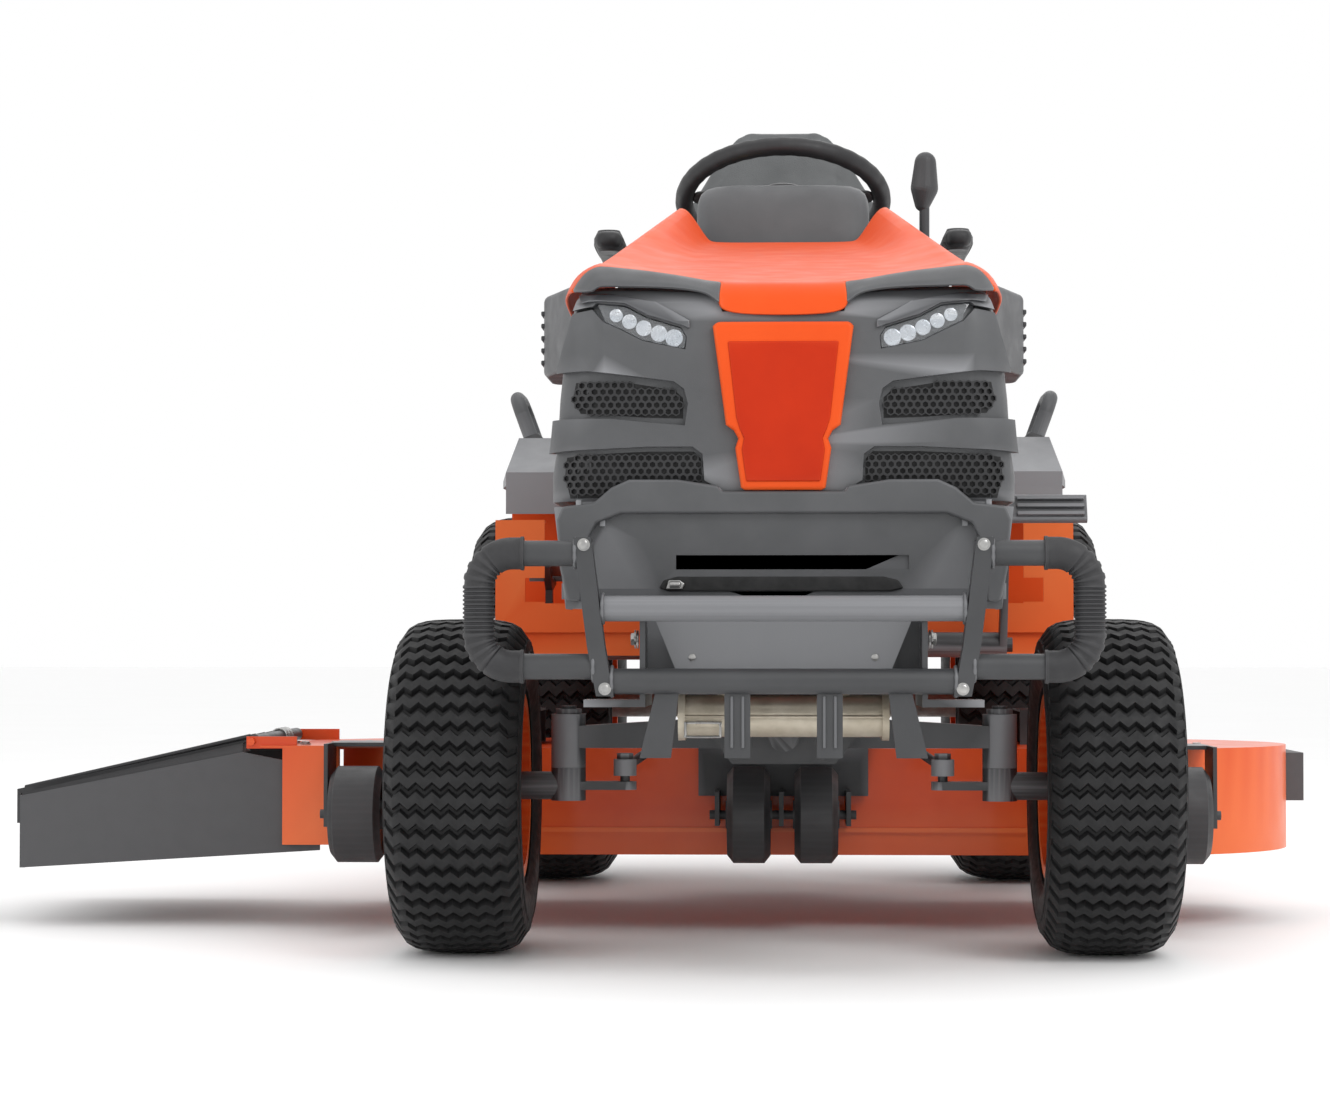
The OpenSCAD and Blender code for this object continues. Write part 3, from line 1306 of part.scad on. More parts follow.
// An anti-scalp wheel of width w, centred at x
module scalp_wheel(x, w) {
    y = outer_spindle_y - skirt_r - scalp_d / 2 - 10;
    z = deck_low_z - 6 + scalp_d / 2;
    r = scalp_d / 2;
    color(black) translate([x, y, z]) rotate([0, 90, 0]) rotate_extrude()
        polygon([[6, -w / 2], [18, -w / 2], [20, -w / 2 + 8], [r - 14, -w / 2 + 8], [r - 10, -w / 2 + 2], [r, -w / 2 + 10],
            [r, w / 2 - 10], [r - 10, w / 2 - 2], [r - 14, w / 2 - 8], [20, w / 2 - 8], [18, w / 2], [6, w / 2]]);
}

module scalp_wheel_left() { scalp_wheel(left_wheel_x, 72); }
module scalp_wheel_right() { scalp_wheel(right_wheel_x, 72); }
module scalp_wheels_middle() {
    scalp_wheel(-45, 60);
    scalp_wheel(42, 60);
}

module side_bumper() {
    x = left_spindle[0] + skirt_r;
    color(black) difference() {
        union() {
            block([x - 2, outer_spindle_y - 20, 160], [x + bumper_t, outer_spindle_y + 190, 226]);
            for (y = [outer_spindle_y + 4, outer_spindle_y + 150])
                block([x - 120, y, 190], [x, y + 16, 206]);
        }
        translate([0, 0, deck_low_z]) linear_extrude(deck_top_z) deck_plan(skirt_r + face_gap);
    }
}

module deflector() {
    t = 5;
    front = chute_front_y - 10;
    rear = chute_rear_y + 60;
    tip_z = 178;
    gap = face_gap + 1;
    barrel_r = flap_pin_d / 2 + 4;
    color(black) {
        difference() {
            union() {
                // Sloping top, front wall, rear wall and outer rim
                translate([0, (front + 60 + rear) / 2, 0]) extrude_y(rear - front - 60) polygon([
                    [flap_hinge_x - 2, flap_hinge_z + 4], [flap_hinge_x - 2, flap_hinge_z - 4],
                    [flap_tip_x, tip_z - t], [flap_tip_x, tip_z + 2]]);
                translate([0, front + 34, 0]) extrude_y(60) polygon([
                    [flap_hinge_x - 14, flap_hinge_z - 2], [flap_hinge_x - 14, flap_hinge_z - 14],
                    [flap_tip_x + 20, tip_z - 8 - t], [flap_tip_x + 20, tip_z]]);
                translate([0, front + 2, 0]) extrude_y(t) polygon([[flap_hinge_x + 90, 102],
                    [flap_hinge_x + 90, deck_top_z - 26], [flap_hinge_x - 14, deck_top_z - 6],
                    [flap_tip_x + 20, tip_z - 4], [flap_tip_x + 20, 78]]);
                translate([0, rear - 3, 0]) extrude_y(t) polygon([[flap_hinge_x - 14, 110],
                    [flap_hinge_x - 14, flap_hinge_z - 4], [flap_tip_x, tip_z - 4], [flap_tip_x, 84]]);
                block([flap_tip_x, front + 60, tip_z - 44], [flap_tip_x + t, rear, tip_z]);
                block([flap_tip_x + 18, front, 78], [flap_tip_x + 20 + t, front + 66, tip_z - 4]);
                translate([flap_hinge_x, (chute_front_y - 6 + chute_rear_y - 36) / 2, flap_hinge_z])
                    rod_y(2 * barrel_r, chute_rear_y - chute_front_y - 48);
            }
            translate([flap_hinge_x, outer_spindle_y, flap_hinge_z]) rod_y(flap_pin_d, 900);
            for (y = [chute_front_y - 18, chute_rear_y - 30]) translate([flap_hinge_x, y + 3, flap_hinge_z])
                rod_y(2 * barrel_r + 16, 6 + 2 * gap);
        }
    }
}

// ---- Controls ----

module lift_lever() {
    knob_z = 1010;
    lean = 4;
    lever_d = 14;
    color(black) {
        translate([0, lift_y, lift_z]) {
            translate([10, 0, 0]) rod_x(lift_shaft_d, 2 * rail_x + 92);
            both_sides() rotate([lift_arm_angle, 0, 0]) {
                translate([lift_arm_x, 0, 0]) extrude_x(8) {
                    circle(d = 40);
                    translate([0, -13]) square([lift_arm_l, 26]);
                    translate([lift_arm_l, 0]) circle(d = 28);
                }
                translate([lift_arm_x - 8, lift_arm_l, 0]) rod_x(lift_pin_d, 24);
            }
            translate([lever_x, 0, 0]) rod_x(36, 20);
            rotate([lean, 0, 0]) rod([lever_x, 0, 10], [lever_x, 0, knob_z - lift_z - 20], lever_d);
        }
        translate([lever_x, lift_y, lift_z]) rotate([lean, 0, 0]) translate([0, 0, knob_z - lift_z])
            rotate([0, 12, 0]) hull() {
                sphere(d = 38, $fn = hull_fn);
                translate([-6, 0, 34]) sphere(d = 30, $fn = hull_fn);
                translate([2, 0, -22]) sphere(d = 22, $fn = hull_fn);
            }
    }
}

module brake_pedal() {
    pad = [306, 402];
    color(black) {
        difference() {
            union() {
                translate([(rail_x + brake_x) / 2 + 4, brake_y, brake_z]) rod_x(34, brake_x - rail_x - 4);
                translate([brake_x - 3, 0, 0]) extrude_x(10) polygon([[brake_y - 14, brake_z - 10],
                    [brake_y + 14, brake_z + 6], [404, 505], [366, 564], [354, 550], [392, 498]]);
            }
            translate([0, brake_y, brake_z]) rod_x(pedal_shaft_d + 2 * pin_fit, 2 * brake_x + 100);
        }
        translate([0, 358, 555]) rotate([-28, 0, 0]) translate([(pad[0] + pad[1]) / 2 - 4, 0, 0])
            extrude_x(pad[1] - pad[0] + 8) rounded_rect(12, 40, 4);
        for (i = [-1, 0, 1]) translate([0, 358, 555]) rotate([-28, 0, 0]) translate([(pad[0] + pad[1]) / 2, -8, i * 12])
            cube([pad[1] - pad[0] - 8, 6, 5], center = true);
    }
}

module drive_pedals() {
    x = -330;
    color(black) {
        difference() {
            translate([-(rail_x + 340) / 2 - 3, drive_y, drive_z]) rod_x(32, 340 - rail_x - 6);
            translate([0, drive_y, drive_z]) rod_x(pedal_shaft_d + 2 * pin_fit, 900);
        }
        translate([x, 0, 0]) extrude_x(10) polygon([[drive_y - 12, drive_z + 12], [drive_y + 12, drive_z + 12],
            [drive_y + 8, 452], [drive_y + 70, 462], [drive_y + 70, 472], [drive_y, 468], [drive_y - 62, 492],
            [drive_y - 64, 482], [drive_y - 8, 452]]);
        for (pad = [[drive_y - 40, 487, 20, 62], [drive_y + 62, 474, -8, 56]])
            translate([x, pad[0], pad[1]]) rotate([-pad[2], 0, 0]) {
                cube([62, pad[3], 10], center = true);
                for (i = [-1, 0, 1]) translate([0, i * pad[3] / 4, 7]) cube([52, 6, 5], center = true);
            }
    }
}

placed() frame_rails();
placed() axle_bracket();
placed() engine_block();
placed() engine_shroud();
placed() muffler();
placed() heat_shield();
placed() lower_fascia();
placed() guard_frame();
placed() guard_sleeves();
placed() dash_cowl();
placed() transaxle();
placed() fender_pan();
placed() fender_covers();
placed() grab_handles();
placed() seat_rails();
placed() hood_top();
placed() grille();
placed() grille_insert();
placed() headlights();
placed() grille_mesh();
placed() steering_wheel();
placed() steering_pinion();
placed() steering_sector();
placed() drag_link_left();
placed() drag_link_right();
placed() front_axle();
placed() spindle_left();
placed() spindle_right();
placed() front_rim_left();
placed() front_tyre_left();
placed() front_rim_right();
placed() front_tyre_right();
placed() rear_rim_left();
placed() rear_tyre_left();
placed() rear_rim_right();
placed() rear_tyre_right();
placed() seat_slider();
placed() seat_shell();
placed() seat_cushion();
placed() seat_back();
placed() armrest_left();
placed() armrest_right();
placed() lift_lever();
placed() deck_brackets();
placed() deck_shell();
placed() belt_covers();
placed() blade_left();
placed() blade_middle();
placed() blade_right();
placed() crank_pulley();
placed() deflector();
placed() side_bumper();
placed() scalp_wheel_left();
placed() scalp_wheel_right();
placed() scalp_wheels_middle();
placed() brake_pedal();
placed() drive_pedals();
placed() ignition_key();
placed() throttle_lever();
placed() pto_knob();
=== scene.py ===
import math
import bpy
import bmesh
from mathutils import Matrix, Vector


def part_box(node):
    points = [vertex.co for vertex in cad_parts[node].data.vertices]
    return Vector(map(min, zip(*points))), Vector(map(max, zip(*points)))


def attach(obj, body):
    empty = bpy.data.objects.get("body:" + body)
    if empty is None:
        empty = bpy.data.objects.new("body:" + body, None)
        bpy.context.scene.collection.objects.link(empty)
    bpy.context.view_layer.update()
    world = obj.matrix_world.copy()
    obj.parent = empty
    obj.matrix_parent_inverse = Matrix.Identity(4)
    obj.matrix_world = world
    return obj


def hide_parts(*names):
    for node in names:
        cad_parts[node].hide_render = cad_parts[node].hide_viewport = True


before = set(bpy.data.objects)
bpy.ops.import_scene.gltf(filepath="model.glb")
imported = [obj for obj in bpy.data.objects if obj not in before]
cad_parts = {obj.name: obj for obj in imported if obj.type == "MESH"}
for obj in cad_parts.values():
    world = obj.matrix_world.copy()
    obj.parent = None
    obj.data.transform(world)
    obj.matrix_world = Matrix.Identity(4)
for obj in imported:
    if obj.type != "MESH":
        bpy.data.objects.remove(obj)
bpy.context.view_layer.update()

# Tractor coordinates: millimetres, x to the tractor's left, y rearward from the front axle, z up.
SHIFT = Vector((159.0, -556.75, 0.0))
SIDES = ((1, "left"), (-1, "right"))


def place(x, y, z):
    return (Vector((x, y, z)) + SHIFT) / 1000.0


def turns(count):
    """Angles once round."""
    return [2 * math.pi * i / count for i in range(count)]


def bend(value, power):
    """value to a power, with its sign kept, which squares off a circle."""
    return math.copysign(abs(value) ** power, value)


# ---------------------------------------------------------------- materials
def srgb(r, g, b):
    return tuple((c / 255 / 12.92) if c <= 10 else ((c / 255 + 0.055) / 1.055) ** 2.4 for c in (r, g, b)) + (1.0,)


def material(name, low, high, rough=(0.35, 0.5), metallic=0.0, coat=0.0, scale=40.0, grain=None, grain_depth=0.1,
             cells=None, cell_depth=0.2, edge_highlight=None, transmission=0.0, ior=1.5, spec=0.5, coat_rough=0.08):
    """low and high are the two colours that a soft noise blends; grain and cells are bump scales per metre."""
    mat = bpy.data.materials.new(name)
    mat.use_nodes = True
    tree = mat.node_tree
    shader = tree.nodes["Principled BSDF"]
    shader.inputs["Metallic"].default_value = metallic
    shader.inputs["Coat Weight"].default_value = coat
    shader.inputs["Coat Roughness"].default_value = coat_rough
    shader.inputs["Transmission Weight"].default_value = transmission
    shader.inputs["IOR"].default_value = ior
    shader.inputs["Specular IOR Level"].default_value = spec

    def node(kind, **values):
        made = tree.nodes.new(kind)
        for key, value in values.items():
            made.inputs[key].default_value = value
        return made

    coords = tree.nodes.new("ShaderNodeTexCoord")
    here = coords.outputs["Object"]
    soft = node("ShaderNodeTexNoise", Scale=scale, Detail=4.0, Roughness=0.6)
    tree.links.new(here, soft.inputs["Vector"])
    ramp = tree.nodes.new("ShaderNodeValToRGB")
    ramp.color_ramp.elements[0].position = 0.3
    ramp.color_ramp.elements[1].position = 0.7
    ramp.color_ramp.elements[0].color = srgb(*low)
    ramp.color_ramp.elements[1].color = srgb(*high)
    tree.links.new(soft.outputs["Fac"], ramp.inputs["Fac"])
    colour = ramp.outputs["Color"]
    # Painted highlight: convex edges, found by pointiness, are blended towards a lighter tint of the colour.
    if edge_highlight:
        geometry = tree.nodes.new("ShaderNodeNewGeometry")
        edge = tree.nodes.new("ShaderNodeMapRange")
        edge.inputs["From Min"].default_value = 0.53
        edge.inputs["From Max"].default_value = 0.62
        tree.links.new(geometry.outputs["Pointiness"], edge.inputs["Value"])
        blend = tree.nodes.new("ShaderNodeMix")
        blend.data_type = "RGBA"
        blend.inputs["B"].default_value = srgb(*edge_highlight)
        tree.links.new(edge.outputs["Result"], blend.inputs["Factor"])
        tree.links.new(colour, blend.inputs["A"])
        colour = blend.outputs["Result"]
    tree.links.new(colour, shader.inputs["Base Color"])
    patch = node("ShaderNodeTexNoise", Scale=scale * 2.7, Detail=3.0)
    tree.links.new(here, patch.inputs["Vector"])
    sheen = tree.nodes.new("ShaderNodeMapRange")
    sheen.inputs["From Min"].default_value = 0.3
    sheen.inputs["From Max"].default_value = 0.7
    sheen.inputs["To Min"].default_value = rough[0]
    sheen.inputs["To Max"].default_value = rough[1]
    tree.links.new(patch.outputs["Fac"], sheen.inputs["Value"])
    tree.links.new(sheen.outputs["Result"], shader.inputs["Roughness"])
    normal = None
    for size, depth, kind in ((grain, grain_depth, "ShaderNodeTexNoise"),
                              (cells, cell_depth, "ShaderNodeTexVoronoi")):
        if not size:
            continue
        texture = tree.nodes.new(kind)
        texture.inputs["Scale"].default_value = size
        tree.links.new(here, texture.inputs["Vector"])
        bump = tree.nodes.new("ShaderNodeBump")
        bump.inputs["Strength"].default_value = depth
        bump.inputs["Distance"].default_value = 0.001
        out = texture.outputs["Fac"] if kind.endswith("Noise") else texture.outputs["Distance"]
        tree.links.new(out, bump.inputs["Height"])
        if normal:
            tree.links.new(normal, bump.inputs["Normal"])
        normal = bump.outputs["Normal"]
    if normal:
        tree.links.new(normal, shader.inputs["Normal"])
    return mat


# The last colour given to each material below is its painted edge highlight, a lighter tint for convex edges.
ORANGE = material("orange_gloss", (216, 76, 24), (222, 82, 28), (0.42, 0.52), coat=0.04, coat_rough=0.2, scale=9,
                  grain=260, grain_depth=0.03, ior=1.3, spec=0.3, edge_highlight=(232, 112, 58))
DEEP_ORANGE = material("deep_orange", (176, 38, 2), (188, 44, 4), (0.34, 0.44), coat=0.06, scale=9, grain=240,
                       grain_depth=0.03, ior=1.33, spec=0.3, edge_highlight=(206, 70, 24))
DECK_PAINT = material("deck_powder_coat", (206, 66, 14), (220, 78, 20), (0.34, 0.46), coat=0.2, scale=7, grain=900,
                      grain_depth=0.12, spec=0.35, edge_highlight=(230, 106, 50))
GREY = material("grey_moulded_plastic", (72, 73, 75), (80, 81, 83), (0.42, 0.55), scale=14, grain=1500,
                grain_depth=0.22, edge_highlight=(132, 133, 136))
DARK_GREY = material("dark_grey_plastic_and_recess_shade", (56, 57, 59), (64, 65, 68), (0.36, 0.48), scale=14, grain=1500,
                     grain_depth=0.2, edge_highlight=(96, 97, 100))
GLOSS_GREY = material("gloss_grey_cover", (62, 63, 66), (68, 69, 72), (0.14, 0.22), coat=0.5, scale=10, grain=200,
                      grain_depth=0.03, edge_highlight=(112, 113, 116))
BLACK = material("black_plastic", (28, 28, 30), (36, 36, 38), (0.4, 0.55), scale=20, grain=1300, grain_depth=0.2,
                 edge_highlight=(70, 70, 72))
MATT_BLACK = material("matt_black", (15, 15, 16), (22, 22, 23), (0.6, 0.8), scale=30, grain=900, grain_depth=0.2)
PAINT_BLACK = material("black_powder_coat", (52, 53, 55), (61, 62, 64), (0.36, 0.5), scale=11, grain=1100,
                       grain_depth=0.25, edge_highlight=(120, 121, 124))
RUBBER = material("tyre_rubber", (16, 16, 17), (26, 26, 27), (0.5, 0.7), scale=34, grain=700, grain_depth=0.3,
                  spec=0.35, edge_highlight=(40, 40, 41))
GRIP_RUBBER = material("grip_rubber", (34, 34, 36), (44, 44, 46), (0.5, 0.65), scale=30, grain=1500,
                       grain_depth=0.3, edge_highlight=(76, 76, 78))
STEEL = material("zinc_steel", (150, 150, 150), (182, 181, 178), (0.25, 0.45), metallic=1.0, scale=60, grain=500,
                 grain_depth=0.15)
ALLOY = material("cast_alloy", (128, 126, 122), (158, 156, 150), (0.4, 0.6), metallic=0.85, scale=40, grain=800,
                 grain_depth=0.5)
MUFFLER = material("aluminised_steel", (168, 158, 140), (206, 198, 182), (0.3, 0.5), metallic=0.7, scale=18,
                   grain=300, grain_depth=0.2)
SILVER = material("reflector_silver", (222, 224, 227), (242, 243, 245), (0.22, 0.34), metallic=0.55, scale=50)
LENS = material("clear_lens", (236, 240, 244), (246, 248, 250), (0.02, 0.05), transmission=0.95, ior=1.46, scale=20)
LED = material("lamp_bulb", (240, 240, 240), (252, 252, 252), (0.1, 0.2), scale=30, spec=0.8)
VINYL = material("seat_vinyl", (78, 80, 81), (90, 92, 93), (0.42, 0.56), scale=16, grain=900, grain_depth=0.2,
                 cells=620, cell_depth=0.35, edge_highlight=(110, 112, 114))
PIPING = material("seat_piping", (40, 41, 42), (50, 51, 52), (0.4, 0.5), scale=40, grain=1200, grain_depth=0.2)
YELLOW = material("yellow_plastic", (226, 178, 20), (236, 190, 34), (0.3, 0.42), scale=30, grain=900,
                  grain_depth=0.15)
CHROME = material("bright_steel", (200, 200, 202), (220, 220, 222), (0.1, 0.2), metallic=1.0, scale=50, grain=300,
                  grain_depth=0.05)
FLOOR = material("studio_floor", (250, 250, 250), (252, 252, 252), (0.7, 0.8), scale=1.5)


# ---------------------------------------------------------------- mesh builders
def smooth_by_angle(mesh, degrees):
    """Smooth faces, with sharp edges wherever they meet at more than the angle."""
    made = bmesh.new()
    made.from_mesh(mesh)
    limit = math.radians(degrees)
    for face in made.faces:
        face.smooth = True
    for edge in made.edges:
        if len(edge.link_faces) == 2 and edge.calc_face_angle(0.0) > limit:
            edge.smooth = False
    made.to_mesh(mesh)
    made.free()


def piece(name, shapes, mat, body, bevel=0.0, subdivide=0, segments=2, matrix=None, angle=32.0, sharp=32.0,
          replaces=()):
    """shapes is a list of (points, faces) in tractor millimetres. matrix moves the points first."""
    points, faces = [], []
    for shape in shapes:
        start = len(points)
        points += [Vector(p) for p in shape[0]]
        faces += [tuple(i + start for i in face) for face in shape[1]]
    if matrix is not None:
        points = [matrix @ p for p in points]
    mesh = bpy.data.meshes.new(name)
    mesh.from_pydata([place(*p) for p in points], [], faces)
    made = bmesh.new()
    made.from_mesh(mesh)
    bmesh.ops.recalc_face_normals(made, faces=made.faces[:])
    made.to_mesh(mesh)
    made.free()
    mesh.materials.append(mat)
    obj = bpy.data.objects.new(name, mesh)
    bpy.context.scene.collection.objects.link(obj)
    if bevel:
        edge = obj.modifiers.new("bevel", "BEVEL")
        edge.width = bevel / 1000
        edge.segments = segments
        edge.limit_method = "ANGLE"
        edge.angle_limit = math.radians(angle)
        edge.harden_normals = False
        mesh.shade_smooth()
        obj.modifiers.new("flat", "WEIGHTED_NORMAL").keep_sharp = True
    elif subdivide:
        cage = obj.modifiers.new("subdivide", "SUBSURF")
        cage.levels = cage.render_levels = subdivide
        mesh.shade_smooth()
    else:
        smooth_by_angle(mesh, sharp)
    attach(obj, body)
    if replaces:
        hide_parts(*replaces)
    return obj


def prism(outline, low, high, axis="y"):
    """A closed outline extruded from low to high. The outline is (x, z) for y, (y, z) for x and (x, y) for z."""
    turn = {"y": lambda p, t: (p[0], t, p[1]), "x": lambda p, t: (t, p[0], p[1]),
            "z": lambda p, t: (p[0], p[1], t)}[axis]
    count = len(outline)
    points = [turn(p, low) for p in outline] + [turn(p, high) for p in outline]
    faces = [tuple(range(count)), tuple(range(2 * count - 1, count - 1, -1))]
    faces += [(i, (i + 1) % count, count + (i + 1) % count, count + i) for i in range(count)]
    return points, faces


def curve(points, steps, closed=False):
    """Catmull-Rom points through the given ones."""
    pts = [Vector(p) for p in points]
    count = len(pts)
    out = []
    spans = count if closed else count - 1
    for i in range(spans):
        if closed:
            a, b, c, d = (pts[(i + k) % count] for k in (-1, 0, 1, 2))
        else:
            b, c = pts[i], pts[i + 1]
            a = pts[i - 1] if i else b * 2 - c
            d = pts[i + 2] if i + 2 < count else c * 2 - b
        for k in range(steps):
            t = k / steps
            out.append(0.5 * ((2 * b) + (c - a) * t + (2 * a - 5 * b + 4 * c - d) * t * t
                              + (3 * b - a - 3 * c + d) * t * t * t))
    if not closed:
        out.append(pts[-1])
    return out


def tube(points, radius, sides=14, closed=False):
    """A round tube along points. radius is a number or a function of the point's index."""
    pts = [Vector(p) for p in points]
    count = len(pts)
    get = radius if callable(radius) else (lambda i: radius)
    rings = []
    side = None
    for i, p in enumerate(pts):
        if closed:
            way = pts[(i + 1) % count] - pts[i - 1]
        else:
            way = pts[min(i + 1, count - 1)] - pts[max(i - 1, 0)]
        way.normalize()
        if side is None:
            side = way.orthogonal().normalized()
        side = (side - way * side.dot(way)).normalized()
        up = way.cross(side)
        rings.append([p + get(i) * (side * math.cos(2 * math.pi * k / sides) + up * math.sin(2 * math.pi * k / sides))
                      for k in range(sides)])
    return skin(rings, closed)


def skin(rings, closed=False):
    """Quads between rings of equal length, capped unless closed."""
    size = len(rings[0])
    points = [p for ring in rings for p in ring]
    faces = []
    for i in range(len(rings) if closed else len(rings) - 1):
        a, b = i * size, ((i + 1) % len(rings)) * size
        faces += [(a + k, a + (k + 1) % size, b + (k + 1) % size, b + k) for k in range(size)]
    if not closed:
        faces += [tuple(range(size - 1, -1, -1)), tuple(range(len(points) - size, len(points)))]
    return points, faces


def lathe(profile, centre, axis="x", steps=48, closed=False):
    """profile is (radius, height) along the axis."""
    centre = Vector(centre)
    rings = []
    for a in turns(steps):
        c, s = math.cos(a), math.sin(a)
        turn = {"x": lambda r, h: (h, r * c, r * s), "y": lambda r, h: (r * c, h, r * s),
                "z": lambda r, h: (r * c, r * s, h)}[axis]
        rings.append([centre + Vector(turn(r, h)) for r, h in profile])
    size = len(profile)
    points = [p for ring in rings for p in ring]
    faces = []
    for i in range(steps):
        a, b = i * size, ((i + 1) % steps) * size
        for k in range(size if closed else size - 1):
            n = (k + 1) % size
            faces.append((a + k, a + n, b + n, b + k))
    if not closed:
        for end in (0, size - 1):
            faces.append(tuple(i * size + end for i in range(steps)))
    return points, faces


def mirror(shape):
    return [(-p[0], p[1], p[2]) for p in shape[0]], [tuple(reversed(f)) for f in shape[1]]


def both(*shapes):
    out = []
    for shape in shapes:
        out += [shape, mirror(shape)]
    return out


def bolt(centre, axis, size):
    """A hexagon bolt head with its washer, whose axis is a signed letter such as -y."""
    sign = -1 if axis[0] == "-" else 1
    letter = axis[-1]
    out = [lathe([(size * 1.15, 0), (size * 1.15, sign * size * 0.18), (0.6 * size, sign * size * 0.2)],
                 centre, letter, 20)]
    head = size * 0.55
    profile = [(size * 0.86, sign * size * 0.2), (size * 0.86, sign * head), (size * 0.7, sign * head * 1.18),
               (0.2, sign * head * 1.2)]
    out.append(lathe(profile, centre, letter, 6))
    return out


def bumps(node, width):
    """Rounds the edges of a CAD node with a bevel modifier of the width in millimetres."""
    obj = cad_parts[node]
    edge = obj.modifiers.new("bevel", "BEVEL")
    edge.width = width / 1000
    edge.segments = 2
    edge.limit_method = "ANGLE"
    edge.angle_limit = math.radians(40)


# ---------------------------------------------------------------- hood
SILL = 774.0
# y, then the half section from the side's foot over the ridge to the middle
HOOD_STATIONS = [
    (-336, [(214, 770), (209, 774), (203, 776), (160, 775), (114, 774), (84, 768), (71, 756), (66, 744), (0, 742)]),
    (-330, [(224, 770), (213, 782), (205, 786), (160, 783), (114, 780), (84, 773), (71, 767), (62, 764), (0, 763)]),
    (-312, [(236, 772), (222, 794), (206, 799), (160, 795), (116, 789), (86, 783), (70, 781), (56, 780), (0, 779.5)]),
    (-275, [(245, SILL), (232, 799), (209, 808), (165, 802), (125, 796), (92, 790), (72, 788), (45, 787), (0, 787)]),
    (-200, [(253, SILL), (244, 802), (212, 818), (180, 812), (148, 807), (112, 804), (80, 802), (40, 801), (0, 800)]),
    (-100, [(257, SILL), (250, 808), (212, 832), (186, 828), (158, 822), (122, 820), (84, 820), (40, 820), (0, 820)]),
    (100, [(260, SILL), (252, 824), (190, 880), (172, 878), (148, 866), (118, 860), (84, 858), (40, 858), (0, 858)]),
    (250, [(260, SILL), (254, 830), (166, 922), (150, 920), (126, 896), (108, 888), (78, 886), (40, 886), (0, 886)]),
    (400, [(260, SILL), (255, 836), (142, 964), (128, 965), (104, 924), (96, 918), (72, 917), (40, 917), (0, 917)]),
]
rows = []
for y, half in HOOD_STATIONS:
    rows.append([(x, y, z) for x, z in half] + [(-x, y, z) for x, z in half[-2::-1]])
columns = [curve([row[k] for row in rows], 4) for k in range(len(rows[0]))]
grid = [[columns[k][i] for k in range(len(columns))] for i in range(len(columns[0]))]
count = len(grid[0])
hood_points = [p for row in grid for p in row]
hood_faces = [(i * count + k, i * count + k + 1, (i + 1) * count + k + 1, (i + 1) * count + k)
              for i in range(len(grid) - 1) for k in range(count - 1)]


def hood_part(name, faces, mat, replaces=()):
    """Some of the hood's faces as one skin, creased along its ridge and its edges."""
    kept = sorted({i for face in faces for i in face})
    number = {old: new for new, old in enumerate(kept)}
    obj = piece(name, [([hood_points[i] for i in kept], [tuple(number[i] for i in f) for f in faces])], mat, "hood",
                replaces=replaces)
    made = bmesh.new()
    made.from_mesh(obj.data)
    crease = made.edges.layers.float.new("crease_edge")
    for edge in made.edges:
        a, b = (kept[v.index] % count for v in edge.verts)
        if edge.is_boundary:
            edge[crease] = 0.95
        elif a == b and a in (2, count - 3):
            edge[crease] = 0.45
        elif a == b and a in (5, count - 6):
            edge[crease] = 0.3
    made.to_mesh(obj.data)
    made.free()
    obj.data.shade_smooth()
    wall = obj.modifiers.new("wall", "SOLIDIFY")
    wall.thickness = 0.0035
    wall.offset = -1
    round_off = obj.modifiers.new("round", "SUBSURF")
    round_off.levels = round_off.render_levels = 2


def on_horn(face):
    """The grey horns over the headlights, on both sides of the hood's orange nose."""
    centre = sum((Vector(hood_points[i]) for i in face), Vector()) / len(face)
    return centre.y < -306 and abs(centre.x) > 70


hood_part("hood_skin", [f for f in hood_faces if not on_horn(f)], ORANGE, ("hood_top",))
hood_part("hood_horns", [f for f in hood_faces if on_horn(f)], GREY)

# Front shell of the hood: width and depth by height
SHELL = [(535, 257, -318), (565, 257, -321), (600, 252, -322), (650, 249, -322), (700, 244, -322), (735, 239, -320),
         (758, 232, -314), (774, 226, -304)]
CORNER = 44.0


def at_height(z, column):
    z = max(SHELL[0][0], min(SHELL[-1][0], z))
    for low, high in zip(SHELL, SHELL[1:]):
        if z <= high[0]:
            t = (z - low[0]) / (high[0] - low[0])
            return low[column] + t * (high[column] - low[column])
    return SHELL[-1][column]


def on_shell(x, z, out):
    """The point at lateral run x and height z, out from the shell, wrapped round its corners."""
    width, front = at_height(z, 1), at_height(z, 2)
    straight = width - CORNER
    run = abs(x) - straight
    if run <= 0:
        return (x, front - out, z)
    sign = 1 if x > 0 else -1
    a = run / CORNER
    if a <= math.pi / 2:
        r = CORNER + out
        return (sign * (straight + r * math.sin(a)), front + CORNER - r * math.cos(a), z)
    return (sign * (width + out), front + CORNER + (run - CORNER * math.pi / 2), z)


